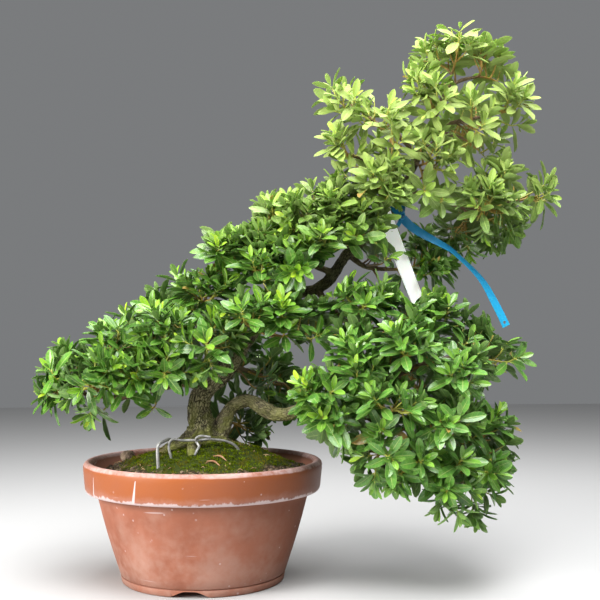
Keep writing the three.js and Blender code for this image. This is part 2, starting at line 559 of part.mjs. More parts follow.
/** A stem of three sides with whorls of leaves worked out of it in one closed skin. */
class LeafyStem {
  points = [];
  triangles = [];

  /** Adds points, and gives back their numbers. */
  add(points) {
    return points.map((point) => this.points.push(point) - 1);
  }

  /** Adds a ring round a point of the stem. */
  ring(centre, { u, v }, radius) {
    return this.add(
      [0, 1, 2].map((k) => {
        const turn = (k * 2 * Math.PI) / 3;
        const toward = u.clone().multiplyScalar(Math.cos(turn)).addScaledVector(v, Math.sin(turn));
        return centre.clone().addScaledVector(toward, radius);
      }),
    );
  }

  /** Joins two rings with the stem's bare sides. */
  sides(below, above) {
    for (let k = 0; k < 3; k++) {
      const next = (k + 1) % 3;
      this.triangles.push([below[k], below[next], above[k]], [below[next], above[next], above[k]]);
    }
  }

  /** Joins a ring with the outline round it: the upper skin of the leaves, or the lower one. */
  collar(ring, outline, upper) {
    const share = 3 / (2 * Math.PI);
    let k = Math.round(outline[0].angle * share);
    const end = k + 3;
    outline.forEach(({ index }, j) => {
      const after = outline[j + 1] ?? { index: outline[0].index, angle: outline[0].angle + 2 * Math.PI };
      const at = (number) => ring[((number % 3) + 3) % 3];
      const skin = [[at(k), index, after.index]];
      const target = j === outline.length - 1 ? end : Math.round(after.angle * share);
      for (; k < target; k++) skin.push([at(k), after.index, at(k + 1)]);
      this.triangles.push(...skin.map(([a, b, c]) => (upper ? [a, b, c] : [a, c, b])));
    });
  }

  /** The finished solid: the bare line, then each whorl, the last of them closed by its apex. */
  static grow(line, radii, whorls) {
    const stem = new LeafyStem();
    const half = (whorl) => whorl.axis.clone().multiplyScalar(LEAF.hub);
    const through = (whorl) => [whorl.hub.clone().sub(half(whorl)), whorl.hub.clone().add(half(whorl))];
    const centres = [...line, ...whorls.flatMap(through)];
    const frames = framesOf(centres);
    whorls.forEach(({ axis }, w) => {
      const first = line.length + 2 * w;
      frames[first] = frames[first + 1] = squareTo(axis, frames[first].u);
    });
    const radiusAt = (i) => radii[Math.min(i, radii.length - 1)];
    const rings = centres.map((centre, i) => stem.ring(centre, frames[i], radiusAt(i)));
    stem.triangles.push([rings[0][0], rings[0][2], rings[0][1]]);
    for (let i = 0; i < centres.length - 1; i++) {
      const order = i - line.length;
      if (order < 0 || order % 2 === 1) {
        stem.sides(rings[i], rings[i + 1]);
        continue;
      }
      const { leaves, hub } = whorls[order / 2];
      const outline = whorlOutline(leaves, hub, frames[i]);
      const indices = stem.add(outline.map(({ point }) => point));
      outline.forEach((corner, j) => (corner.index = indices[j]));
      stem.collar(rings[i], outline, false);
      stem.collar(rings[i + 1], outline, true);
    }
    const [a, b, c] = rings[rings.length - 1];
    stem.triangles.push([a, b, c]);
    return facets(stem.points, stem.triangles);
  }
}

/** One leaf by itself, grown by an amount, to try whether its place is free. */
function leafProbe(leaf, hub, axis, grown) {
  const [u, v] = across(axis);
  const outline = whorlOutline([leaf], hub, { u, v }, grown).map(({ point }) => point);
  const half = axis.clone().multiplyScalar(LEAF.hub + grown / 2);
  const over = outline.length;
  const fans = outline.flatMap((_, i) => [[i, (i + 1) % over, over], [(i + 1) % over, i, over + 1]]);
  return facets([...outline, hub.clone().add(half), hub.clone().sub(half)], fans);
}

/** The shoots of one stem: each with the twig that carries it and its leaves, all by rule. */
function shootsOf(stem, lift, key) {
  const shoots = [];
  for (let k = 0; k < SHOOT.perTip; k++) {
    const share = 1 - 0.1 * k;
    const base = stem.getPoint(share);
    const tangent = stem.getTangent(share);
    const [u, v] = across(tangent);
    const turn = k * GOLDEN_ANGLE + 2 * Math.PI * draw(key + k);
    const way = tangent.clone().multiplyScalar(k === 0 ? 1 : 0.45);
    if (k > 0) way.addScaledVector(u, 0.9 * Math.cos(turn)).addScaledVector(v, 0.9 * Math.sin(turn));
    way.addScaledVector(UP, lift).normalize();
    const reach = k === 0 ? 0 : SHOOT.reach * (0.7 + 0.45 * draw(key + 20 + k));
    const neck = base.clone().addScaledVector(way, reach);
    const axis = way.clone().addScaledVector(UP, lift).normalize();
    shoots.push({ base, neck, axis, leaves: leavesOf(neck, axis, turn, key + 40 + 40 * k) });
  }
  return shoots;
}

/** The leaves of one shoot, from its foot to its tip, in a spiral that closes towards the tip. */
function leavesOf(neck, axis, turn, key) {
  const [u, v] = across(axis);
  const leaves = [];
  for (let m = 0; m < LEAF.perShoot; m++) {
    const young = m / (LEAF.perShoot - 1);
    const azimuth = turn + m * GOLDEN_ANGLE + 0.16 * (draw(key + m) - 0.5);
    const mean = THREE.MathUtils.lerp(LEAF.oldLean, LEAF.youngLean, young);
    const lean = THREE.MathUtils.degToRad(mean + LEAF.leanSpread * (draw(key + 12 + m) - 0.5));
    const outward = u.clone().multiplyScalar(Math.cos(azimuth)).addScaledVector(v, Math.sin(azimuth));
    const along = axis.clone().multiplyScalar(Math.cos(lean)).addScaledVector(outward, Math.sin(lean));
    const face = axis.clone().addScaledVector(along, -axis.dot(along)).normalize();
    const length = LEAF.length * (1 - 0.42 * young * young) * (0.84 + 0.32 * draw(key + 24 + m));
    const root = neck.clone().addScaledVector(axis, SHOOT.leafy * young);
    leaves.push({ root, along, face, length, width: length * LEAF.widthShare });
  }
  return leaves;
}

/** The point and the way on a limb at a share of its length, and its radius there. */
function placeOn(points, share) {
  const line = points.map(vector);
  const steps = line.slice(1).map((point, i) => point.distanceTo(line[i]));
  let rest = share * steps.reduce((sum, step) => sum + step, 0);
  let i = 0;
  while (i < steps.length - 1 && rest > steps[i]) rest -= steps[i++];
  const part = rest / steps[i];
  const radius = THREE.MathUtils.lerp(points[i][3], points[i + 1][3], part);
  const way = line[i + 1].clone().sub(line[i]).normalize();
  return { point: line[i].clone().lerp(line[i + 1], part), radius, way };
}

/** A spray's seat: the flat end of its limb, or of a short stub on the limb's side. */
function seatOf({ on, at, tips }) {
  const { point, radius, way } = placeOn(WOOD[on], at);
  if (at === 1) return { from: null, to: point, way };
  const middle = tips.map(vector).reduce((sum, tip) => sum.add(tip)).divideScalar(tips.length);
  const toTips = middle.sub(point).normalize();
  return { from: point, to: point.clone().addScaledVector(toTips, radius + STEM.stub), way: toTips };
}

/** The curve of a stem, from its knee to its tip. */
function stemCurve(knee, way, tip) {
  const straight = knee.clone().lerp(tip, 0.5);
  const forward = knee.clone().addScaledVector(way, 0.5 * knee.distanceTo(tip));
  return new THREE.QuadraticBezierCurve3(knee, straight.lerp(forward, 0.5), tip);
}

/** Whether a solid meets any placed solid of another node. */
function meets(body, placed) {
  const box = body.boundingBox();
  return placed.some(
    (other) =>
      [0, 1, 2].every((k) => box.min[k] <= other.box.max[k] && other.box.min[k] <= box.max[k]) &&
      !body.intersect(other.body).isEmpty(),
  );
}

/** A whorl of some leaves of a shoot: its hub, and those of them that would meet no other node. */
function clearWhorl({ neck, axis, leaves }, members, placed) {
  const middle = members.reduce((sum, m) => sum + m, 0) / members.length / (LEAF.perShoot - 1);
  const hub = neck.clone().addScaledVector(axis, SHOOT.leafy * middle);
  const free = (leaf) => !meets(leafProbe(leaf, hub, axis, LEAF.clearance), placed);
  return { hub, axis, leaves: members.map((m) => leaves[m]).filter(free) };
}

/** One leafy stem, or a fork of them, with its side shoots, in one solid. */
function spraySolid(spray, number, placed) {
  const { to, way } = seatOf(spray);
  const foot = to.clone().addScaledVector(way, SEAT_GAP);
  const knee = foot.clone().addScaledVector(way, STEM.foot);
  const leafy = (whorl) => whorl.leaves.length > 0;
  const parts = [];
  const withOwn = () => [...placed, ...parts.map((body) => ({ body, box: body.boundingBox() }))];
  spray.tips.map(vector).forEach((tip, t) => {
    const stem = stemCurve(knee, way, tip);
    const shoots = shootsOf(stem, spray.lift, (number * 3 + t) * 1000);
    const levels = [WHORLS.low, WHORLS.high];
    const whorls = levels.map((members) => clearWhorl(shoots[0], members, placed)).filter(leafy);
    const start = t === 0 ? foot : knee.clone().addScaledVector(way, -STEM.foot / 2);
    const radii = STEM.radii.map((radius) => radius * STEM.forkShare ** t);
    parts.push(LeafyStem.grow([start, knee, shoots[SHOOT.lateral].base], radii, whorls));
    const side = clearWhorl(shoots[SHOOT.lateral], WHORLS.low, withOwn());
    const twig = [shoots[SHOOT.lateral].base, shoots[SHOOT.lateral].neck];
    if (spray.tips.length === 1 && leafy(side) && !meets(tube(twig, STEM.twigRadii, 3), placed))
      parts.push(LeafyStem.grow([twig[0]], STEM.twigRadii, [side]));
  });
  return mainSkin(join(parts));
}

// ---------------------------------------------------------------- the whole plant
const FINISH = {
  terracotta: { color: 0xb5694a, roughness: 0.75, metalness: 0 },
  soil: { color: 0x4f5a1e, roughness: 1, metalness: 0 },
  plastic: { color: 0x2a2a2a, roughness: 0.6, metalness: 0 },
  bark: { color: 0x6b6046, roughness: 0.9, metalness: 0 },
  wire: { color: 0xb9bab5, roughness: 0.5, metalness: 0.6 },
  label: { color: 0xe9eae4, roughness: 0.5, metalness: 0 },
  band: { color: 0x1f86b8, roughness: 0.4, metalness: 0 },
  pellet: { color: 0x6a5846, roughness: 1, metalness: 0 },
  dryLeaf: { color: 0xc9793f, roughness: 0.8, metalness: 0 },
  leaf: { color: 0x4f8a2c, roughness: 0.4, metalness: 0 },
};

const bonsai = new THREE.Group();
const placed = []; // every solid that a leaf has to stay clear of

function place(name, body, finish) {
  bonsai.add(piece(name, body, finish));
  placed.push({ body, box: body.boundingBox() });
}

const stubs = Object.values(SPRAYS).map(seatOf).filter(({ from }) => from);
const wood = Object.entries(WOOD).map(([name, points]) => limb(points, WOOD_SIDES[name] ?? BRANCH_SIDES));
wood.push(...ROOTS.map((points) => limb(points, ROOT_SIDES)));
wood.push(...stubs.map(({ from, to }) => tube([from, to], [STEM.stubRadius, STEM.stubRadius], 3)));

const buried = [
  limb(WOOD.base, WOOD_SIDES.base, BURIED_GAP),
  ...ROOTS.map((points) => limb(points, ROOT_SIDES, BURIED_GAP)),
  wire(GUY_WIRE, WIRE.guyRadius + BURIED_GAP),
  wire(PIN_WIRE, WIRE.pinRadius + BURIED_GAP),
  pelletSolid(BURIED_GAP),
];

place("pot", potSolid(), FINISH.terracotta);
place("drain_mesh", drainMeshSolid(), FINISH.plastic);
place("soil", soilSolid(buried), FINISH.soil);
place("trunk", join(wood), FINISH.bark);
place("guy_wire", join([GUY_WIRE, GUY_TWIST].map((points) => wire(points, WIRE.guyRadius))), FINISH.wire);
place("root_pin", wire(PIN_WIRE, WIRE.pinRadius), FINISH.wire);
place("fertiliser_pellet", pelletSolid(), FINISH.pellet);
FALLEN_LEAVES.forEach((leaf, i) => place(`fallen_leaf_${i + 1}`, fallenLeafSolid(leaf), FINISH.dryLeaf));
place("name_label", labelSolid(), FINISH.label);
place("tie_band", tieBandSolid(), FINISH.band);
Object.entries(SPRAYS).forEach(([name, spray], number) => {
  place(`spray_${name}`, spraySolid(spray, number, placed), FINISH.leaf);
});

const middle = new THREE.Box3().setFromObject(bonsai).getCenter(new THREE.Vector3());
for (const mesh of bonsai.children) mesh.position.set(-middle.x, -middle.y, 0);

export default bonsai;
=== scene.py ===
"""The finished surfaces of a satsuki azalea bonsai in its terracotta training pot.

Sizes are in millimetres round the pot's axis, with the surface that the pot stands on at height 0. The
workshop turns them into the row's metres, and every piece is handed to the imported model's one body.
"""

from __future__ import annotations

import logging
import math
from dataclasses import dataclass, field
from enum import Enum
from functools import reduce
from typing import Callable, Sequence

import bpy
import numpy as np
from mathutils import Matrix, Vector, noise
from mathutils.kdtree import KDTree

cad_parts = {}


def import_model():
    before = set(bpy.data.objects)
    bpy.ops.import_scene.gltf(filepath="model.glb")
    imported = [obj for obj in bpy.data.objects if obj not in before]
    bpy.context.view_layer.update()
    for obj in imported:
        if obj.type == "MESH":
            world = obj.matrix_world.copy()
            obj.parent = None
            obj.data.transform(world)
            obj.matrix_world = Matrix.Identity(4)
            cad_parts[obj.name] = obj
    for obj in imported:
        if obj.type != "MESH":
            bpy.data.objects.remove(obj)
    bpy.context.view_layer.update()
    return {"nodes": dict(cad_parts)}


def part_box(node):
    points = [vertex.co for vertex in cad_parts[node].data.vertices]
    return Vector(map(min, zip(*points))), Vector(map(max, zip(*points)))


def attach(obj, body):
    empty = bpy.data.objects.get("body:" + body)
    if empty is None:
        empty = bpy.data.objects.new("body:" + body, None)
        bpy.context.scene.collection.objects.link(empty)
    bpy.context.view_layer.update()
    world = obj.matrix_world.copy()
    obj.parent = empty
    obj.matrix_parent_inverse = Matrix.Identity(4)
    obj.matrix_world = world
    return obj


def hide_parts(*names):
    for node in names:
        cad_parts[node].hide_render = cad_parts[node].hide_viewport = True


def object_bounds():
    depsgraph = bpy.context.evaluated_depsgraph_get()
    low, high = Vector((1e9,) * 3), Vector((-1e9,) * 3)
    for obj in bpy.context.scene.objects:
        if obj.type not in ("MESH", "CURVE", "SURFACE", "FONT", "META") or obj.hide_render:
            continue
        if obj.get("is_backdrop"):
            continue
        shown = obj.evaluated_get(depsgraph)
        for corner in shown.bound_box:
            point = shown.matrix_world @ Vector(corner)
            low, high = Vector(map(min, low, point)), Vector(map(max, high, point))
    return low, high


LOG = logging.getLogger("bonsai")
MM = 0.001
BODY = "root"
UP = np.array([0.0, 0.0, 1.0])
GOLDEN_ANGLE = math.radians(137.5)

Colour = tuple[float, float, float, float]
Row = Sequence[float]
Span = tuple[float, float]
Points = np.ndarray
Mesh = bpy.types.Mesh
Material = bpy.types.Material
Piece = bpy.types.Object
Socket = bpy.types.NodeSocket


class Slot(Enum):
    """The record's material slots."""

    TERRACOTTA = "terracotta"
    SOIL = "mossy_soil"
    DRAIN = "drain_plastic"
    BARK = "bark"
    WIRE = "bonsai_wire"
    PELLET = "pressed_cake"
    DRY_LEAF = "dry_leaf"
    LABEL = "label_plastic"
    BAND = "band_plastic"
    LEAF = "azalea_leaf"


# ---------------- the tree's wood, as [x, y, z, radius] along each limb
LIMBS: dict[str, list[Row]] = {
    "base": [[4, 0, 124, 22], [3, -2, 150, 32], [1, -3, 170, 33], [1, -2, 182, 26], [0, -1, 200, 15]],
    "trunk": [
        [2, 0, 172, 22], [-2, 0, 190, 17], [-6, 0, 212, 14], [-3, 0, 231, 13], [11, 2, 247, 12.5],
        [27, 5, 262, 12], [46, 8, 290, 11], [68, 8, 324, 10], [89, 4, 349, 8.5], [110, 0, 358, 7.5],
        [129, -4, 362, 7], [145, -6, 367, 7], [161, -5, 379, 7.2], [182, 0, 409, 7], [199, 3, 424, 6.8],
        [214, 4, 436, 6.5], [230, 2, 454, 6.2], [244, 0, 472, 6], [255, 0, 488, 5.5], [261, 0, 504, 5],
        [273, 0, 529, 4.5], [287, 0, 559, 4], [300, 0, 591, 3.5], [312, 0, 622, 3], [321, 0, 644, 2.6],
    ],
    "arch": [
        [12, -4, 168, 15], [22, -6, 188, 11.5], [28, -9, 204, 9.5], [36, -14, 217, 8.5], [49, -20, 224, 8],
        [62, -26, 222, 8.4], [74, -32, 215, 8.8], [88, -38, 209, 8.8], [102, -45, 209, 8],
        [115, -52, 215, 7], [132, -60, 222, 6.4], [153, -68, 230, 5.6],
    ],
    "low_left": [
        [-2, 0, 236, 6], [-20, -10, 245, 4.2], [-49, -20, 241, 3.6], [-79, -25, 234, 3.1],
        [-107, -28, 229, 2.7], [-138, -25, 232, 2.3],
    ],
    "left": [
        [46, 8, 290, 6], [14, 0, 303, 4], [-18, -5, 307, 3.4], [-56, -8, 303, 2.9], [-93, -8, 291, 2.3],
    ],
    "left_top": [[68, 8, 324, 6], [39, 10, 338, 3.6], [7, 12, 344, 3], [-31, 12, 338, 2.3]],
    "left_front": [[66, 8, 322, 6], [73, -15, 313, 3.4], [79, -35, 307, 2.3]],
    "left_back": [[46, 8, 290, 6], [24, 42, 300, 3.6], [-12, 62, 305, 3], [-50, 76, 302, 2.3]],
    "low_back": [[27, 5, 262, 6], [48, 42, 262, 3.6], [72, 70, 254, 3], [104, 84, 242, 2.3]],
    "mid": [
        [166, -4, 386, 5], [145, -8, 394, 3.8], [129, -10, 400, 3.6], [109, -10, 392, 3.2],
        [81, -8, 386, 2.9], [49, -5, 392, 2.6], [26, -5, 405, 2.3],
    ],
    "mid_up": [
        [191, 2, 417, 5], [177, 0, 435, 3.6], [154, -5, 447, 3.1], [128, -8, 454, 2.7], [108, -8, 451, 2.3],
    ],
    "right_mid": [[186, 0, 412, 5], [206, 6, 397, 3.4], [232, 12, 393, 2.8], [258, 14, 393, 2.3]],
    "right_low": [
        [144, -6, 367, 5], [157, -12, 346, 3.8], [177, -25, 328, 3.2], [205, -35, 316, 2.8],
        [239, -40, 313, 2.3],
    ],
    "arch_right": [
        [150, -67, 229, 5], [189, -75, 243, 4], [231, -80, 258, 3.4], [275, -75, 274, 2.9],
        [323, -60, 282, 2.3],
    ],
    "arch_down": [
        [150, -67, 229, 5], [186, -80, 214, 4], [220, -90, 193, 3.4], [253, -92, 171, 2.9],
        [284, -88, 146, 2.3],
    ],
    "right_end": [[246, -92, 176, 3.2], [292, -78, 176, 2.8], [332, -66, 170, 2.3]],
    "right_back": [[231, -80, 258, 3.4], [242, -42, 256, 2.8], [266, -2, 246, 2.3]],
    "top_left": [[261, 0, 504, 5], [239, -8, 518, 3.2], [212, -12, 530, 2.7], [189, -12, 538, 2.3]],
    "top_left2": [[278, 0, 540, 4], [253, -5, 563, 3], [226, -6, 579, 2.6], [203, -5, 596, 2.3]],
    "top_right": [
        [256, 0, 490, 5], [286, -5, 491, 3.4], [317, -10, 478, 3], [354, -12, 472, 2.8],
        [382, -10, 479, 2.5], [404, -8, 482, 2.3],
    ],
    "top_right2": [[294, 0, 575, 3.6], [326, -5, 585, 2.8], [351, -8, 590, 2.5], [370, -8, 595, 2.3]],
    "top_back": [[290, 0, 567, 3.6], [312, 28, 578, 2.8], [346, 50, 576, 2.3]],
    "apex": [[316, 0, 632, 2.8], [337, 0, 642, 2.5], [354, 0, 646, 2.3]],
}
ROOTS: list[list[Row]] = [
    [[-8, -18, 176, 8], [-34, -31, 170, 6], [-54, -40, 161, 4.5], [-70, -46, 148, 3.5]],
    [[-12, 4, 174, 8], [-40, 14, 166, 5.5], [-64, 22, 150, 4]],
    [[-6, -24, 172, 7], [-14, -48, 168, 6.5], [-15, -56, 150, 6]],
    [[16, -8, 173, 8.5], [44, -12, 166.5, 5.5], [66, -18, 159.5, 4.5], [88, -24, 147, 4]],
    [[12, 12, 172, 9], [40, 36, 165, 5], [60, 54, 150, 4]],
]


@dataclass(frozen=True)
class Spray:
    """A leafy stem or a fork of them."""

    limb: str
    share: float
    tips: tuple[tuple[float, float, float], ...]
    lift: float


SPRAYS = {
    "low_left_tip": Spray("low_left", 1, ((-181, -20, 245), (-158, 22, 268)), 0.35),
    "low_left_hang": Spray("low_left", 0.86, ((-136, -64, 247),), -0.3),
    "low_left_front": Spray("low_left", 0.68, ((-97, -66, 255),), 0.4),
    "low_left_inner": Spray("low_left", 0.4, ((-46, -66, 270),), 0.1),
    "left_end": Spray("left", 1, ((-117, -28, 281),), 0.5),
    "left_face": Spray("left", 0.62, ((-46, -60, 295),), 0.5),
    "left_near": Spray("left", 0.32, ((3, -78, 289),), 0.4),
    "left_top_end": Spray("left_top", 1, ((-54, 18, 326),), 0.55),
    "left_top_face": Spray("left_top", 0.62, ((-2, -24, 348),), 0.6),
    "left_front": Spray("left_front", 1, ((44, -70, 323), (98, -68, 328), (145, -50, 311)), 0.55),
    "left_back": Spray("left_back", 1, ((-95, 88, 304), (-44, 116, 322)), 0.5),
    "left_back_inner": Spray("left_back", 0.42, ((38, 92, 302),), 0.5),
    "low_back": Spray("low_back", 1, ((88, 110, 237), (132, 98, 214)), 0.4),
    "base_back": Spray("arch", 0.16, ((47, 42, 190),), 0.2),
    "mid_end": Spray("mid", 1, ((19, -10, 390),), 0.55),
    "mid_top": Spray("mid", 0.78, ((54, -30, 411), (73, -50, 370)), 0.6),
    "mid_face": Spray("mid", 0.42, ((110, -60, 397), (160, -56, 412)), 0.5),
    "mid_up_end": Spray("mid_up", 1, ((91, -10, 445),), 0.6),
    "mid_up_face": Spray("mid_up", 0.72, ((129, -40, 448),), 0.6),
    "mid_up_near": Spray("mid_up", 0.4, ((174, -42, 461), (201, -50, 428)), 0.55),
    "mid_up_back": Spray("mid_up", 0.6, ((123, 66, 435),), 0.5),
    "top_left_end": Spray("top_left", 1, ((185, -20, 532),), 0.5),
    "top_left_face": Spray("top_left", 0.5, ((209, -58, 499), (219, -44, 461)), 0.45),
    "top_left2_end": Spray("top_left2", 1, ((179, -10, 589),), 0.6),
    "top_left2_face": Spray("top_left2", 0.5, ((209, -44, 575), (238, -54, 541)), 0.6),
    "crown_left": Spray("trunk", 1, ((302, 8, 665), (328, -20, 682)), 0.6),
    "crown_right": Spray("apex", 1, ((362, -4, 670), (398, 20, 641)), 0.6),
    "crown_face": Spray("trunk", 0.9, ((296, -54, 592), (278, -30, 627)), 0.5),
    "neck_face": Spray("trunk", 0.8, ((285, -60, 530), (275, -46, 490)), 0.45),
    "top_right2_end": Spray("top_right2", 1, ((395, -10, 599),), 0.55),
    "top_right2_face": Spray("top_right2", 0.5, ((344, -52, 563),), 0.5),
    "top_right_end": Spray("top_right", 1, ((431, -12, 488),), 0.45),
    "top_right_face": Spray("top_right", 0.68, ((375, -48, 498), (350, -44, 463)), 0.55),
    "top_right_under": Spray("top_right", 0.5, ((342, 24, 445), (396, 12, 455)), 0),
    "top_back": Spray("top_back", 1, ((383, 62, 553), (352, 88, 592)), 0.5),
    "right_mid_end": Spray("right_mid", 1, ((291, 16, 403),), 0.4),
    "right_low_face": Spray("right_low", 0.5, ((188, -66, 340),), 0.6),
    "right_low_end": Spray("right_low", 1, ((249, -60, 328), (299, -50, 316)), 0.6),
    "arch_front": Spray("arch", 0.9, ((143, -106, 237), (155, -92, 189)), 0.4),
    "arch_right_near": Spray("arch_right", 0.2, ((176, -96, 290), (185, -112, 242)), 0.5),
    "arch_right_face": Spray("arch_right", 0.5, ((243, -118, 288),), 0.5),
    "arch_right_outer": Spray("arch_right", 0.78, ((306, -112, 247),), 0.4),
    "arch_right_end": Spray("arch_right", 1, ((336, -24, 290), (369, -42, 268)), 0.45),
    "arch_down_face": Spray("arch_down", 0.42, ((221, -136, 223),), 0.4),
    "arch_down_outer": Spray("arch_down", 0.72, ((288, -126, 208),), 0.35),
    "arch_down_under": Spray("arch_down", 0.6, ((203, -112, 166), (244, -118, 154)), 0),
    "arch_down_end": Spray("arch_down", 1, ((286, -118, 129), (335, -84, 118)), 0),
    "right_end": Spray("right_end", 1, ((352, -66, 148), (350, -52, 188)), 0.2),
    "right_back": Spray("right_back", 1, ((269, 42, 258), (317, 22, 214)), 0.4),
}


# ---------------- small tools
def draw(key: float) -> float:
    """A repeatable number from 0 to 1 that belongs to a key."""
    return (math.sin(key * 12.9898 + 4.1414) * 43758.5453) % 1.0


def unit(vector: Points) -> Points:
    """The vector at length 1."""
    return vector / np.linalg.norm(vector)


def across(direction: Points) -> tuple[Points, Points]:
    """Two unit vectors square to a direction of length 1, and to each other."""
    first = unit(np.cross(UP if abs(direction[2]) < 0.9 else np.array([1.0, 0.0, 0.0]), direction))
    return first, np.cross(direction, first)


def smooth_line(points: Sequence[Row] | Points, steps: int = 5) -> Points:
    """A soft curve through rows of numbers.

    Args:
        points: The rows, such as x, y, z and a radius.
        steps: How many rows each stretch is cut into.

    Returns:
        The rows of the curve, the last one included.
    """
    rows = np.array(points, float)
    ends = np.vstack([2 * rows[0] - rows[1], rows, 2 * rows[-1] - rows[-2]])
    share = (np.arange(steps) / steps)[:, None]
    curve = []
    for a, b, c, d in zip(ends, ends[1:], ends[2:], ends[3:]):
        bend, twist = 2 * a - 5 * b + 4 * c - d, 3 * b - a - 3 * c + d
        curve.append(0.5 * (2 * b + (c - a) * share + bend * share**2 + twist * share**3))
    return np.vstack([*curve, rows[-1:]])


def carried_frames(line: Points) -> tuple[Points, Points, Points]:
    """Directions along a line and square to it, carried on without twist.

    Args:
        line: The line's points.

    Returns:
        The way on and two sides, at each point.
    """
    way = np.gradient(line, axis=0)
    way /= np.linalg.norm(way, axis=1)[:, None]
    first = [across(way[0])[0]]
    for direction in way[1:]:
        first.append(unit(first[-1] - direction * first[-1].dot(direction)))
    side = np.array(first)
    return way, side, np.cross(way, side)


def place_on(points: Sequence[Row], share: float) -> tuple[Points, float, Points]:
    """A place on a limb.

    Args:
        points: The limb's rows of x, y, z and radius.
        share: How far along it the place is, as a share of its length.

    Returns:
        The place, the radius there, and the way on.
    """
    rows = np.array(points, float)
    steps = np.linalg.norm(np.diff(rows[:, :3], axis=0), axis=1)
    rest = share * steps.sum()
    i = 0
    while i < len(steps) - 1 and rest > steps[i]:
        rest -= steps[i]
        i += 1
    row = rows[i] + (rows[i + 1] - rows[i]) * rest / steps[i]
    return row[:3], row[3], unit(rows[i + 1, :3] - rows[i, :3])


def primitive(add: Callable[..., object], **sizes: float) -> Piece:
    """A new primitive, with everything else deselected.

    Args:
        add: The operator that adds it.
        **sizes: The operator's own settings.

    Returns:
        The new object.
    """
    bpy.ops.object.select_all(action="DESELECT")
    add(**sizes)
    return bpy.context.object


def select_only(*pieces: Piece) -> None:
    """Selects some objects and makes the first active, with everything else deselected.

    Args:
        *pieces: The objects, with the one that is made active first.
    """
    bpy.ops.object.select_all(action="DESELECT")
    for piece in pieces:
        piece.select_set(True)
    bpy.context.view_layer.objects.active = pieces[0]


def join(piece: Piece, *others: Piece) -> None:
    """Joins other objects into a piece."""
    select_only(piece, *others)
    bpy.ops.object.join()


def in_edit_mode(piece: Piece, *steps: Callable[[], object]) -> None:
    """Runs edit-mode steps on a piece, with all of it selected at the start.

    Args:
        piece: The mesh object.
        *steps: The calls, in order.
    """
    select_only(piece)
    bpy.ops.object.mode_set(mode="EDIT")
    bpy.ops.mesh.select_all(action="SELECT")
    for step in steps:
        step()
    bpy.ops.object.mode_set(mode="OBJECT")


def modify(piece: Piece, kind: str, **settings: object) -> None:
    """Adds a modifier to a piece, sets it and applies it.

    Args:
        piece: The mesh that is modified.
        kind: The modifier's type, such as "BEVEL".
        **settings: The modifier's own properties.
    """
    select_only(piece)
    modifier = piece.modifiers.new(kind.lower(), kind)
    for name, value in settings.items():
        setattr(modifier, name, value)
    bpy.ops.object.modifier_apply(modifier=modifier.name)


def cut(piece: Piece, cutter: Piece) -> None:
    """Cuts a closed shape out of a piece, and takes the cutter away."""
    modify(piece, "BOOLEAN", object=cutter, operation="DIFFERENCE", solver="EXACT")
    bpy.data.objects.remove(cutter)


def clean(piece: Piece, distance: float = 1e-6) -> None:
    """Merges the points that are within a distance of each other, and turns every face outwards."""
    in_edit_mode(
        piece,
        lambda: bpy.ops.mesh.remove_doubles(threshold=distance),
        lambda: bpy.ops.mesh.select_all(action="SELECT"),
        lambda: bpy.ops.mesh.normals_make_consistent(inside=False),
    )


def coordinates(mesh: Mesh, source: str = "co") -> Points:
    """The mesh's points, or another property of them, as rows of three.

    Args:
        mesh: The mesh.
        source: The property's name.

    Returns:
        One row for each point.
    """
    flat = np.empty(len(mesh.vertices) * 3)
    mesh.vertices.foreach_get(source, flat)
    return flat.reshape(-1, 3)


def set_coordinates(mesh: Mesh, points: Points) -> None:
    """Moves the mesh's points to new places."""
    mesh.vertices.foreach_set("co", np.ascontiguousarray(points, np.float32).ravel())
    mesh.update()


def give_values(mesh: Mesh, name: str, values: Points) -> None:
    """Gives a mesh a named attribute with a number, or three, at each point.

    Args:
        mesh: The mesh.
        name: The attribute's name.
        values: The numbers, or rows of three.
    """
    kind, key = ("FLOAT_VECTOR", "vector") if values.ndim == 2 else ("FLOAT", "value")
    attribute = mesh.attributes.new(name, kind, "POINT")
    attribute.data.foreach_set(key, np.ascontiguousarray(values, np.float32).ravel())


def ramp(values: Points, start: float, length: float) -> Points:
    """A straight step from 0 to 1 over a length, or down to 0 where the length is negative."""
    return np.clip((values - start) / length, 0.0, 1.0)


def noise_at(points: Points, size: float, octaves: int = 4) -> Points:
    """Fractal noise of about -1 to 1 at each point of a list, with features of the given size."""
    return np.array([noise.fractal(Vector(p) / size, 1.0, 2.0, octaves) for p in points])


def many(template: Mesh, points: Points, name: str) -> Mesh:
    """One mesh that holds many copies of a small one, each with its own points.

    Args:
        template: The small mesh that gives the faces.
        points: For each copy, the place of every point of the template.
        name: The new mesh's name.

    Returns:
        The new mesh.
    """
    copies, size = points.shape[:2]
    sizes = np.array([len(face.vertices) for face in template.polygons])
    corners = np.concatenate([list(face.vertices) for face in template.polygons])
    loops = (corners[None] + size * np.arange(copies)[:, None]).ravel()
    mesh = bpy.data.meshes.new(name)
    mesh.vertices.add(copies * size)
    mesh.loops.add(len(loops))
    mesh.polygons.add(copies * len(sizes))
    mesh.loops.foreach_set("vertex_index", loops.astype(np.int32))
    starts = np.concatenate([[0], np.cumsum(np.tile(sizes, copies))[:-1]])
    mesh.polygons.foreach_set("loop_start", starts.astype(np.int32))
    set_coordinates(mesh, points.reshape(-1, 3))
    mesh.update(calc_edges=True)
    return mesh


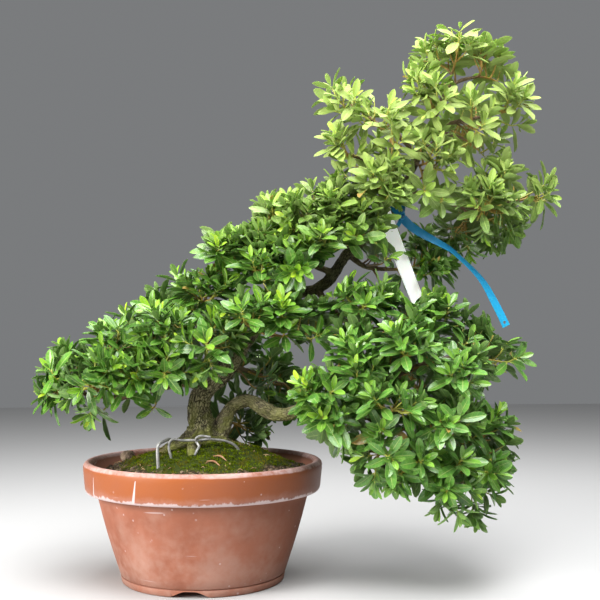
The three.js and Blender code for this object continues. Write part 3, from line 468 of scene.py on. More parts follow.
# ---------------- the workshop
@dataclass
class Workshop:
    """Makes pieces of the row out of sizes round the pot's axis, and hands them over.

    Attributes:
        axis: The pot's axis in the row, in metres.
        count: How many pieces have been handed over.
    """

    axis: Vector
    count: int = 0

    def to_row(self, points: Points | Row) -> Points:
        """Places in millimetres round the pot's axis, as places in the row."""
        return np.asarray(points, float) * MM + np.array(self.axis)

    def from_row(self, points: Points) -> Points:
        """Places in the row, as millimetres round the pot's axis."""
        return (points - np.array(self.axis)) / MM

    def piece(self, name: str, data: bpy.types.ID) -> Piece:
        """A new object of the scene.

        Args:
            name: The object's name.
            data: Its mesh, its curve, or what else it shows.

        Returns:
            The object.
        """
        made = bpy.data.objects.new(name, data)
        bpy.context.scene.collection.objects.link(made)
        return made

    def shaped(self, name: str, points: Points) -> Piece:
        """The primitive that was just added, with its points moved and its object at the origin.

        Args:
            name: The piece's name.
            points: The new places of its points, in millimetres.

        Returns:
            The same object.
        """
        made = bpy.context.object
        made.name = made.data.name = name
        made.matrix_world.identity()
        set_coordinates(made.data, self.to_row(points))
        return made

    def rods(self, name: str, lines: Sequence[Points], bevel: int = 2) -> Piece:
        """Round rods along lines, in one mesh.

        Args:
            name: The piece's name.
            lines: For each rod, rows of x, y, z and the radius.
            bevel: The curve's bevel resolution, which gives 4 sides and 2 more for each step.

        Returns:
            The mesh object.
        """
        curve = bpy.data.curves.new(name, "CURVE")
        curve.dimensions = "3D"
        curve.bevel_depth = 1.0
        curve.bevel_resolution = bevel
        curve.use_fill_caps = True
        for line in lines:
            spline = curve.splines.new("POLY")
            spline.points.add(len(line) - 1)
            places = np.column_stack([self.to_row(line[:, :3]), np.ones(len(line))])
            spline.points.foreach_set("co", places.astype(np.float32).ravel())
            spline.points.foreach_set("radius", (line[:, 3] * MM).astype(np.float32))
        made = self.piece(name, curve)
        select_only(made)
        bpy.ops.object.convert(target="MESH")
        clean(made, 1e-7)
        return made

    def turned(self, name: str, profile: Sequence[Row], steps: int) -> Piece:
        """A closed outline of radius and height, spun about the pot's axis.

        Args:
            name: The piece's name.
            profile: The outline's corners, in order.
            steps: How many faces the round has.

        Returns:
            The mesh object.
        """
        primitive(bpy.ops.mesh.primitive_circle_add, vertices=len(profile), radius=1.0)
        made = self.shaped(name, np.array([[radius, 0.0, height] for radius, height in profile]))
        whole = dict(steps=steps, angle=2 * math.pi, center=tuple(self.axis), axis=(0, 0, 1))
        in_edit_mode(made, lambda: bpy.ops.mesh.spin(**whole))
        clean(made, 1e-5)
        return made

    def hand_over(
        self,
        piece: Piece,
        slot: Slot,
        materials: Sequence[Material],
        nodes: Sequence[str] = (),
        sharp: float = 40.0,
    ) -> None:
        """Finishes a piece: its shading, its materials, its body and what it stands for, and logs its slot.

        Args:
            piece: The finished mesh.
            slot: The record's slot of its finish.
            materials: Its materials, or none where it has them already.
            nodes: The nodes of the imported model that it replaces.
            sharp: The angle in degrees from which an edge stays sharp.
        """
        if materials:
            piece.data.materials.clear()
        for material in materials:
            piece.data.materials.append(material)
        select_only(piece)
        bpy.ops.object.shade_smooth_by_angle(angle=math.radians(sharp))
        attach(piece, BODY)
        if nodes:
            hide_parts(*nodes)
        self.count += 1
        triangles = sum(len(face.vertices) - 2 for face in piece.data.polygons)
        LOG.info("piece %02d %-24s %7d triangles, %s", self.count, piece.name, triangles, slot.value)


@dataclass
class Part:
    """A sub-assembly of the plant, with the workshop that makes its pieces."""

    shop: Workshop


# ---------------- finishes
class Nodes:
    """A shader node tree that is filled in short calls."""

    def __init__(self, tree: bpy.types.NodeTree) -> None:
        """Starts with an empty tree."""
        self.tree = tree
        tree.nodes.clear()

    def add(self, kind: str, inputs: dict | None = None, **settings: object) -> bpy.types.Node:
        """Adds a node.

        Args:
            kind: The node's type without its "ShaderNode".
            inputs: For each input, a value, or the socket that feeds it.
            **settings: The node's own properties.

        Returns:
            The new node.
        """
        node = self.tree.nodes.new("ShaderNode" + kind)
        for name, value in settings.items():
            setattr(node, name, value)
        for name, value in (inputs or {}).items():
            if isinstance(value, bpy.types.NodeSocket):
                self.tree.links.new(value, node.inputs[name])
            else:
                node.inputs[name].default_value = value
        return node

    def maths(self, operation: str, a: object, b: object = 0.0, c: object = 0.0) -> Socket:
        """The result of a sum of up to three numbers."""
        return self.add("Math", {0: a, 1: b, 2: c}, operation=operation).outputs[0]

    def times(self, a: object, b: object) -> Socket:
        """Two numbers multiplied."""
        return self.maths("MULTIPLY", a, b)

    def scaled(self, value: object, factor: object, offset: object) -> Socket:
        """A number times a factor, plus an offset."""
        return self.maths("MULTIPLY_ADD", value, factor, offset)

    def rest(self, share: object) -> Socket:
        """What a share leaves of 1."""
        return self.maths("SUBTRACT", 1.0, share)

    def most(self, *values: object) -> Socket:
        """The largest of some numbers."""
        return reduce(lambda a, b: self.maths("MAXIMUM", a, b), values)

    def mix(self, share: object, low: object, high: object) -> Socket:
        """A colour between two others."""
        return self.add("Mix", {0: share, 6: low, 7: high}, data_type="RGBA").outputs[2]

    def laid(self, base: object, colour: object, mask: object, share: float) -> Socket:
        """A base with a colour laid over it where a mask is, and never more than a share of it."""
        return self.mix(self.times(mask, share), base, colour)

    def between(self, value: object, low: float, high: float) -> Socket:
        """A soft step from 0 to 1 as a value goes from one number to another."""
        inputs = {"Value": value, "From Min": low, "From Max": high}
        return self.add("MapRange", inputs, interpolation_type="SMOOTHSTEP").outputs[0]

    def noise(self, place: object, scale: float, detail: float = 3.0) -> Socket:
        """Noise from 0 to 1."""
        inputs = {"Vector": place, "Scale": scale, "Detail": detail}
        return self.add("TexNoise", inputs).outputs["Fac"]

    def value(self, name: str) -> Socket:
        """A number that the mesh gives at each point."""
        return self.add("Attribute", attribute_name=name).outputs["Fac"]

    def place(self, offset: Row = (0.0, 0.0, 0.0)) -> Socket:
        """The place on the object, shifted."""
        here = self.add("TexCoord").outputs["Object"]
        return self.add("Mapping", {"Vector": here, "Location": offset}).outputs[0]

    def split(self, vector: object) -> bpy.types.NodeOutputs:
        """The three numbers of a place."""
        return self.add("SeparateXYZ", {"Vector": vector}).outputs

    def bump(self, height: object, strength: float, distance: float) -> Socket:
        """A normal for a height."""
        inputs = {"Height": height, "Strength": strength, "Distance": distance}
        return self.add("Bump", inputs).outputs[0]

    def surface(self, inputs: dict) -> None:
        """Ends a material with its surface shader."""
        shader = self.add("BsdfPrincipled", inputs)
        self.add("OutputMaterial", {"Surface": shader.outputs[0]})


def new_material(name: str) -> tuple[Material, Nodes]:
    """An empty material with nodes, and the tool that fills it.

    Args:
        name: The material's name.

    Returns:
        The material and its nodes.
    """
    material = bpy.data.materials.new(name)
    material.use_nodes = True
    return material, Nodes(material.node_tree)


def mottle_group() -> bpy.types.NodeTree:
    """The shared effect of patches in two sizes, as a mask and as a height.

    Returns:
        The group, with the inputs Vector, Scale, Low and High and the outputs Mask and Height.
    """
    found = bpy.data.node_groups.get("mottle")
    if found:
        return found
    finer_by, fine_share = 5.3, 0.4
    group = bpy.data.node_groups.new("mottle", "ShaderNodeTree")
    group.interface.new_socket("Vector", in_out="INPUT", socket_type="NodeSocketVector")
    for name in ("Scale", "Low", "High"):
        group.interface.new_socket(name, in_out="INPUT", socket_type="NodeSocketFloat")
    for name in ("Mask", "Height"):
        group.interface.new_socket(name, in_out="OUTPUT", socket_type="NodeSocketFloat")
    nodes = Nodes(group)
    given = group.nodes.new("NodeGroupInput").outputs
    coarse = nodes.noise(given["Vector"], given["Scale"], 4.0)
    fine = nodes.noise(given["Vector"], nodes.times(given["Scale"], finer_by), 5.0)
    both = nodes.times(nodes.scaled(fine, fine_share, coarse), 0.714)
    taken = group.nodes.new("NodeGroupOutput").inputs
    group.links.new(nodes.between(both, given["Low"], given["High"]), taken["Mask"])
    group.links.new(both, taken["Height"])
    return group


def mottle(
    nodes: Nodes, place: object, scale: float, low: float = 0.4, high: float = 0.6
) -> tuple[Socket, Socket]:
    """The mottle effect, placed in a material with its own values.

    Args:
        nodes: The material's nodes.
        place: The place that the patches follow.
        scale: How fine the patches are.
        low: The height up to which the mask is 0.
        high: The height from which it is 1.

    Returns:
        The mask and the height.
    """
    made = nodes.tree.nodes.new("ShaderNodeGroup")
    made.node_tree = mottle_group()
    nodes.tree.links.new(place, made.inputs["Vector"])
    for name, value in (("Scale", scale), ("Low", low), ("High", high)):
        made.inputs[name].default_value = value
    return made.outputs["Mask"], made.outputs["Height"]


@dataclass(frozen=True)
class Terracotta:
    """The pot's clay: bare below, glazed on the band, and limed where water dries."""

    axis: Row
    top: float
    foot: float
    rim: float
    groove: float = 9.6
    runs: tuple[Row, ...] = ((-61.5, -0.06, 138.0, 0.7), (-32.3, -0.07, 141.0, 1.0))
    run_foot: float = 112.0
    clay: Colour = (0.37, 0.14, 0.085, 1.0)
    dark_clay: Colour = (0.26, 0.085, 0.046, 1.0)
    glaze: Colour = (0.31, 0.082, 0.018, 1.0)
    lime: Colour = (0.47, 0.31, 0.25, 1.0)
    white: Colour = (0.6, 0.5, 0.5, 1.0)
    # inside: painted shade, laid as a shadow under the band and in the groove over the foot ring.
    inside: Colour = (0.24, 0.1, 0.065, 1.0)
    # painted_light_wall: a paler clay laid on the inner wall as painted light.
    painted_light_wall: Colour = (0.52, 0.22, 0.145, 1.0)
    # painted_shade: a dark clay laid on the pot's right side as painted shade.
    painted_shade: Colour = (0.085, 0.022, 0.007, 1.0)

    def material(self) -> Material:
        """Builds the clay's material.

        Returns:
            The material.
        """
        material, nodes = new_material("terracotta")
        top, foot, rim = self.top, self.foot, self.rim
        place = nodes.place([-value for value in self.axis])
        right, back, up = nodes.split(place)
        height = nodes.times(up, 1 / MM)
        squared = nodes.scaled(right, right, nodes.times(back, back))
        radius = nodes.times(nodes.maths("POWER", squared, 0.5), 1 / MM)
        patches, relief = mottle(nodes, place, 22.0)
        wide, _ = mottle(nodes, place, 7.0, 0.36, 0.62)
        grit = nodes.noise(place, 240.0)

        # The bare clay has lime in its patches, and most of it near the foot.
        base = nodes.laid(nodes.mix(wide, self.dark_clay, self.clay), self.lime, patches, 0.16)
        low = nodes.rest(nodes.between(height, 14.0, 75.0))
        bloom = nodes.between(nodes.scaled(low, 0.2, relief), 0.5, 0.85)
        base = nodes.laid(base, self.lime, bloom, 0.42)

        # The glaze covers the outside of the band, up to the lip's worn edge.
        outer = nodes.between(radius, rim - 8.0, rim - 5.0)
        lip = nodes.between(nodes.scaled(relief, 3.0, height), top - 3.6, top - 1.8)
        glazed = nodes.times(outer, nodes.between(height, foot + 0.5, foot + 3.0))
        glazed = nodes.times(glazed, nodes.rest(lip))
        base = nodes.mix(glazed, base, nodes.laid(self.glaze, self.dark_clay, wide, 0.5))

        # The right of the outside is darkened with painted shade, as if turned from the light, and a painted
        # shadow lies in the shelter under the band.
        outside = nodes.between(radius, rim - 14.0, rim - 11.0)
        painted_shade = nodes.most(outside, nodes.maths("LESS_THAN", height, foot))
        base = nodes.laid(base, self.painted_shade, nodes.times(nodes.between(right, 0.0, 0.15), painted_shade), 0.78)
        # Painted shadow under the band's eaves, in the inside colour.
        eaves = nodes.times(nodes.between(height, foot - 15.0, foot - 1.0), nodes.rest(outer))
        near = nodes.between(radius, rim - 24.0, rim - 20.0)
        base = nodes.laid(base, self.inside, nodes.times(nodes.maths("POWER", eaves, 2.0), near), 0.7)

        # The white is a crust on the band's foot, a worn lip, two runs, and scuffs.
        ragged = nodes.scaled(nodes.noise(place, 45.0), 12.0, nodes.times(grit, 6.0))
        ledge = nodes.maths("ADD", height, ragged)
        crust = nodes.rest(nodes.between(ledge, foot + 12.0, foot + 14.5))
        mist = nodes.rest(nodes.between(ledge, foot + 11.0, foot + 23.0))
        crust = nodes.times(nodes.most(nodes.times(crust, 0.8), nodes.times(mist, 0.13)), outer)
        crust = nodes.times(crust, nodes.between(height, foot - 2.0, foot))
        worn = nodes.times(lip, nodes.between(nodes.scaled(grit, 0.5, relief), 0.5, 0.95))
        bearing = nodes.maths("ARCTAN2", right, nodes.times(back, -1.0))
        runs = [self.drip(nodes, height, bearing, *run) for run in self.runs]
        white = nodes.most(crust, nodes.times(worn, 0.42), *runs, self.scratches(nodes, place))
        base = nodes.mix(white, base, self.white)

        # The inner wall over the soil is lightened with painted light, and the groove over the foot ring is
        # darkened with painted shade.
        wall = nodes.rest(nodes.between(height, top - 14.0, top - 2.0))
        wall = nodes.times(nodes.rest(outside), wall)
        wall = nodes.times(wall, nodes.between(height, foot, foot + 6.0))
        base = nodes.laid(base, self.painted_light_wall, wall, 0.7)
        # Painted shade in the groove over the foot ring.
        base = nodes.laid(base, self.inside, nodes.maths("COMPARE", height, self.groove, 0.9), 0.7)
        grain = nodes.scaled(nodes.noise(place, 900.0, 2.0), 0.35, relief)
        nodes.surface(
            {
                "Base Color": base,
                "Roughness": nodes.scaled(white, 0.3, nodes.scaled(glazed, -0.32, 0.78)),
                "Normal": nodes.bump(grain, 0.35, 0.0012),
                "Specular IOR Level": 0.3,
            }
        )
        return material

    def drip(self, nodes: Nodes, height: Socket, bearing: Socket, *run: float) -> Socket:
        """One lime run, a thin line that widens towards its foot.

        Args:
            nodes: The material's nodes.
            height: The point's height in millimetres.
            bearing: The point's bearing from the front, in radians.
            *run: The run's bearing, its slope to the millimetre and its half width in degrees, and between
                the last two the height where it starts.

        Returns:
            How white the point is.
        """
        turn, slope, top, width = run
        middle = nodes.scaled(height, math.radians(-slope), math.radians(turn + slope * 125.0))
        off = nodes.maths("ABSOLUTE", nodes.maths("SUBTRACT", bearing, middle))
        fall = nodes.scaled(height, -0.03, 0.25 + 0.03 * top)
        near = nodes.maths("DIVIDE", off, nodes.times(fall, math.radians(width)))
        above = nodes.between(height, self.run_foot, self.run_foot + 2.0)
        ends = nodes.times(above, nodes.maths("LESS_THAN", height, top))
        return nodes.times(nodes.times(nodes.rest(nodes.between(near, 0.5, 1.0)), ends), 0.9)

    def scratches(self, nodes: Nodes, place: Socket) -> Socket:
        """Short pale scuffs and specks.

        Args:
            nodes: The material's nodes.
            place: The point's place.

        Returns:
            How white the point is.
        """
        specks = nodes.add("TexVoronoi", {"Vector": place, "Scale": 95.0}).outputs["Distance"]
        chosen = nodes.between(nodes.noise(place, 30.0), 0.52, 0.6)
        dots = nodes.times(nodes.maths("LESS_THAN", specks, 0.13), chosen)
        stretch = {"Vector": place, "Rotation": (0.4, 0.9, 0.3), "Scale": (14.0, 14.0, 160.0)}
        bent = nodes.add("Mapping", stretch).outputs[0]
        scuff = nodes.between(nodes.noise(bent, 1.0, 1.0), 0.74, 0.78)
        return nodes.times(nodes.most(dots, scuff), 0.45)


@dataclass(frozen=True)
class Bark:
    """Old azalea bark: grey-brown, finely fissured along the limb, with algae towards the soil."""

    ground: float
    ridge: Colour = (0.15, 0.128, 0.068, 1.0)
    furrow: Colour = (0.028, 0.022, 0.013, 1.0)
    algae: Colour = (0.22, 0.24, 0.04, 1.0)
    pale: Colour = (0.46, 0.43, 0.23, 1.0)
    twig: Colour = (0.3, 0.19, 0.11, 1.0)
    painted_light_share: float = 0.85
    patch_share: float = 0.28
    algae_share: float = 0.7
    film_share: float = 0.16
    thin_share: float = 0.65

    def material(self) -> Material:
        """Builds the bark's material.

        Returns:
            The material.
        """
        material, nodes = new_material("bark")
        grain = nodes.add("Attribute", attribute_name="bark_place").outputs["Vector"]
        here = nodes.place()
        _, fissures = mottle(nodes, grain, 0.45)
        plates = nodes.add("TexVoronoi", {"Vector": grain, "Scale": 0.36}, feature="DISTANCE_TO_EDGE")
        relief = nodes.scaled(nodes.between(plates.outputs["Distance"], 0.0, 0.22), 0.5, fissures)
        # Painted light: the thick trunk's ridges are paled as if lit, to make up for its shade.
        ridge = nodes.laid(self.ridge, self.pale, nodes.value("stout_painted_light"), self.painted_light_share)
        base = nodes.mix(nodes.between(relief, 0.5, 1.05), self.furrow, ridge)
        patches, _ = mottle(nodes, here, 60.0, 0.44, 0.62)
        base = nodes.laid(base, self.pale, patches, self.patch_share)
        low = nodes.rest(nodes.between(nodes.split(here)[2], self.ground + 0.02, self.ground + 0.085))
        green = nodes.times(low, nodes.between(nodes.noise(here, 70.0), 0.4, 0.58))
        base = nodes.laid(base, self.algae, green, self.algae_share)
        film = nodes.between(nodes.noise(here, 24.0), 0.45, 0.6)
        base = nodes.laid(base, self.algae, film, self.film_share)
        base = nodes.laid(base, self.twig, nodes.value("thin"), self.thin_share)
        bump = nodes.bump(relief, 1.0, 0.002)
        nodes.surface({"Base Color": base, "Roughness": 0.85, "Normal": bump, "IOR": 1.45})
        return material


@dataclass(frozen=True)
class LeafSkin:
    """The azalea's leaves: deep green when old, yellow-green when new, glossy above and pale below."""

    deep: Colour = (0.026, 0.105, 0.014, 1.0)
    green: Colour = (0.068, 0.21, 0.02, 1.0)
    fresh: Colour = (0.235, 0.45, 0.022, 1.0)
    newest: Colour = (0.43, 0.62, 0.02, 1.0)
    # crown and below_crown are partly the crown's yellower olive tone and partly painted light, as if its
    # leaves were lit from above.
    crown: Colour = (0.37, 0.43, 0.11, 1.0)
    cool: Colour = (0.11, 0.29, 0.06, 1.0)
    below: Colour = (0.11, 0.19, 0.06, 1.0)
    below_crown: Colour = (0.32, 0.41, 0.13, 1.0)
    vein: Colour = (0.34, 0.46, 0.13, 1.0)
    stalk: Colour = (0.56, 0.52, 0.075, 1.0)
    spent: Colour = (0.36, 0.25, 0.06, 1.0)
    vein_pairs: float = 6.0
    vein_slant: float = 0.12
    vein_share: float = 0.32
    midrib_share: float = 0.88
    margin_share: float = 0.35
    crown_share: float = 0.66
    cool_share: float = 0.42
    cloud_share: float = 0.22

    def material(self) -> Material:
        """Builds the leaves' material.

        Returns:
            The material.
        """
        material, nodes = new_material("azalea_leaf")
        u, along, _ = nodes.split(nodes.add("UVMap", uv_map="blade").outputs[0])
        under = nodes.maths("GREATER_THAN", u, 1.5)
        side = nodes.maths("ABSOLUTE", nodes.scaled(nodes.scaled(under, -2.0, u), 2.0, -1.0))
        young, crown, cool = (nodes.value(name) for name in ("young", "crown", "cool"))
        here = nodes.place()
        veins, midrib = self.ribs(nodes, side, along)
        margin = nodes.times(nodes.between(side, 0.9, 1.0), self.margin_share)
        lines = nodes.most(nodes.times(midrib, self.midrib_share), veins, margin)
        above = nodes.mix(lines, self.above(nodes, here, young), self.vein)
        above = nodes.mix(nodes.rest(nodes.between(along, 0.05, 0.2)), above, self.stalk)
        # The crown's undersides are lightened partly with painted light.
        below = nodes.laid(nodes.mix(crown, self.below, self.below_crown), self.vein, lines, 0.7)
        base = nodes.mix(under, above, nodes.laid(below, self.fresh, young, 0.3))
        dying = nodes.maths("ADD", nodes.scaled(nodes.noise(here, 260.0), 0.6, along), nodes.value("spot"))
        base = nodes.mix(nodes.between(dying, 1.75, 1.95), base, self.spent)
        grain = nodes.noise(here, 900.0, 2.0)
        relief = nodes.maths("SUBTRACT", nodes.times(grain, 0.35), nodes.most(veins, midrib))
        matte = nodes.scaled(cool, -0.06, nodes.scaled(crown, 0.26, 0.3))
        nodes.surface(
            {
                "Base Color": base,
                "Roughness": nodes.scaled(under, 0.3, nodes.scaled(grain, 0.12, matte)),
                "Normal": nodes.bump(relief, 0.35, 0.0004),
                "IOR": 1.48,
                "Coat Weight": nodes.scaled(crown, -0.3, 0.3),
                "Coat Roughness": 0.28,
                "Subsurface Weight": 0.12,
                "Subsurface Radius": (0.5, 1.0, 0.2),
                "Subsurface Scale": 0.0015,
            }
        )
        return material

    def above(self, nodes: Nodes, here: Socket, young: Socket) -> Socket:
        """The colour of a leaf's upper face, before its veins.

        Args:
            nodes: The material's nodes.
            here: The place on the plant.
            young: How new the leaf is.

        Returns:
            The colour.
        """
        base = nodes.mix(nodes.between(nodes.value("tint"), 0.0, 1.0), self.deep, self.green)
        base = nodes.mix(nodes.between(young, 0.36, 0.8), base, self.fresh)
        base = nodes.mix(nodes.between(young, 0.84, 1.0), base, self.newest)
        # Partly painted light: the crown's leaves are lightened as if lit from above, over their yellower
        # tone.
        base = nodes.laid(base, self.crown, nodes.value("crown"), self.crown_share)
        base = nodes.laid(base, self.cool, nodes.value("cool"), self.cool_share)
        clouds, _ = mottle(nodes, here, 130.0, 0.35, 0.65)
        return nodes.laid(base, self.fresh, clouds, self.cloud_share)

    def ribs(self, nodes: Nodes, side: Socket, along: Socket) -> tuple[Socket, Socket]:
        """The veins of a leaf.

        Args:
            nodes: The material's nodes.
            side: The distance from the midrib, 1 at the margin.
            along: The share of the leaf's length.

        Returns:
            The side veins and the midrib, as masks.
        """
        rib = nodes.scaled(along, -0.08, 0.13)
        midrib = nodes.rest(nodes.between(nodes.maths("DIVIDE", side, rib), 0.5, 1.1))
        slant = nodes.scaled(side, -self.vein_slant, along)
        comb = nodes.maths("ABSOLUTE", nodes.maths("SINE", nodes.times(slant, math.pi * self.vein_pairs)))
        return nodes.times(nodes.rest(nodes.between(comb, 0.0, 0.32)), self.vein_share), midrib


@dataclass(frozen=True)
class GreenTwig:
    """This year's stems: red-brown at the foot, amber and green towards the tip."""

    foot: Colour = (0.2, 0.115, 0.06, 1.0)
    middle: Colour = (0.46, 0.29, 0.06, 1.0)
    tip: Colour = (0.42, 0.46, 0.08, 1.0)
    speck_share: float = 0.35

    def material(self) -> Material:
        """Builds the stems' material.

        Returns:
            The material.
        """
        material, nodes = new_material("green_twig")
        young = nodes.value("young")
        specks, relief = mottle(nodes, nodes.place(), 380.0, 0.45, 0.6)
        base = nodes.mix(nodes.between(young, 0.05, 0.35), self.foot, self.middle)
        base = nodes.mix(nodes.between(young, 0.45, 0.9), base, self.tip)
        base = nodes.laid(base, self.foot, specks, self.speck_share)
        nodes.surface({"Base Color": base, "Roughness": 0.55, "Normal": nodes.bump(relief, 0.4, 0.0006)})
        return material


@dataclass(frozen=True)
class Moss:
    """Cushion moss, from yellow-green tips to brown dead patches."""

    bright: Colour = (0.205, 0.3, 0.004, 1.0)
    dark: Colour = (0.03, 0.042, 0.001, 1.0)
    dead: Colour = (0.12, 0.085, 0.012, 1.0)
    patch_share: float = 0.72
    hollow_share: float = 0.5
    dead_share: float = 0.55

    def material(self) -> Material:
        """Builds the moss's material.

        Returns:
            The material.
        """
        material, nodes = new_material("moss")
        here = nodes.place()
        patches, relief = mottle(nodes, here, 110.0, 0.42, 0.56)
        base = nodes.mix(nodes.between(nodes.value("tip"), 0.0, 0.7), self.dark, self.bright)
        base = nodes.laid(base, self.dark, patches, self.patch_share)
        # Painted shade: darker noise patches stand for the shaded hollows between cushions.
        hollows = nodes.between(nodes.noise(here, 34.0), 0.5, 0.64)
        base = nodes.laid(base, self.dark, hollows, self.hollow_share)
        brown = nodes.between(nodes.noise(here, 48.0, 5.0), 0.5, 0.58)
        base = nodes.laid(base, self.dead, brown, self.dead_share)
        bump = nodes.bump(relief, 0.5, 0.001)
        nodes.surface({"Base Color": base, "Roughness": 0.9, "Specular IOR Level": 0.04, "Normal": bump})
        return material


@dataclass(frozen=True)
class Earth:
    """Damp potting mix: dark crumbs with paler grit, and green where moss films it."""

    crumb: Colour = (0.035, 0.024, 0.014, 1.0)
    grit: Colour = (0.16, 0.11, 0.065, 1.0)
    film: Colour = (0.025, 0.04, 0.004, 1.0)
    film_share: float = 0.9

    def material(self) -> Material:
        """Builds the soil's material.

        Returns:
            The material.
        """
        material, nodes = new_material("potting_soil")
        here = nodes.place()
        crumbs = nodes.add("TexVoronoi", {"Vector": here, "Scale": 320.0}).outputs
        _, relief = mottle(nodes, here, 80.0)
        chosen = nodes.between(nodes.split(crumbs["Color"])[0], 0.6, 1.0)
        base = nodes.mix(chosen, self.crumb, self.grit)
        base = nodes.laid(base, self.film, nodes.value("moss"), self.film_share)
        bump = nodes.bump(nodes.scaled(crumbs["Distance"], -0.8, relief), 0.9, 0.002)
        nodes.surface({"Base Color": base, "Roughness": 0.95, "Specular IOR Level": 0.15, "Normal": bump})
        return material


@dataclass(frozen=True)
class Wiring:
    """Soft aluminium wire, weathered pale and dull."""

    clean: Colour = (0.36, 0.36, 0.345, 1.0)
    dull: Colour = (0.2, 0.2, 0.19, 1.0)

    def material(self) -> Material:
        """Builds the wire's material.

        Returns:
            The material.
        """
        material, nodes = new_material("bonsai_wire")
        patches, relief = mottle(nodes, nodes.place(), 150.0, 0.4, 0.62)
        base = nodes.mix(patches, self.clean, self.dull)
        rough = nodes.scaled(patches, 0.2, 0.42)
        bump = nodes.bump(relief, 0.3, 0.0008)
        nodes.surface({"Base Color": base, "Roughness": rough, "Metallic": 0.35, "Normal": bump})
        return material


@dataclass(frozen=True)
class Plastic:
    """A moulded or cut plastic, with a tint that changes down its length and light scuffs."""

    name: str
    above: Colour
    below: Colour
    span: Span
    rough: float
    glow: float = 0.0
    painted_glow: float = 0.0

    def material(self) -> Material:
        """Builds the plastic's material.

        Returns:
            The material.
        """
        material, nodes = new_material(self.name)
        here = nodes.place()
        height = nodes.times(nodes.split(here)[2], 1 / MM)
        scuffs, relief = mottle(nodes, here, 210.0, 0.45, 0.7)
        base = nodes.mix(nodes.between(height, *self.span), self.below, self.above)
        base = nodes.laid(base, self.below, scuffs, 0.12)
        nodes.surface(
            {
                "Base Color": base,
                "Roughness": nodes.scaled(scuffs, 0.18, self.rough),
                "Normal": nodes.bump(relief, 0.12, 0.0006),
                "Subsurface Weight": self.glow,
                "Subsurface Scale": 0.002,
                # The emission is painted light: a glow that lifts the plastic where the lamps leave it dim.
                "Emission Color": base,
                "Emission Strength": self.painted_glow,
            }
        )
        return material


@dataclass(frozen=True)
class Dry:
    """Dead plant matter, pale where it is worn and dark where it is damp."""

    name: str
    pale: Colour
    dark: Colour
    scale: float
    relief: float

    def material(self) -> Material:
        """Builds the dead matter's material.

        Returns:
            The material.
        """
        material, nodes = new_material(self.name)
        patches, height = mottle(nodes, nodes.place(), self.scale, 0.38, 0.62)
        base = nodes.mix(patches, self.dark, self.pale)
        bump = nodes.bump(height, 0.8, self.relief)
        nodes.surface({"Base Color": base, "Roughness": 0.85, "Normal": bump})
        return material


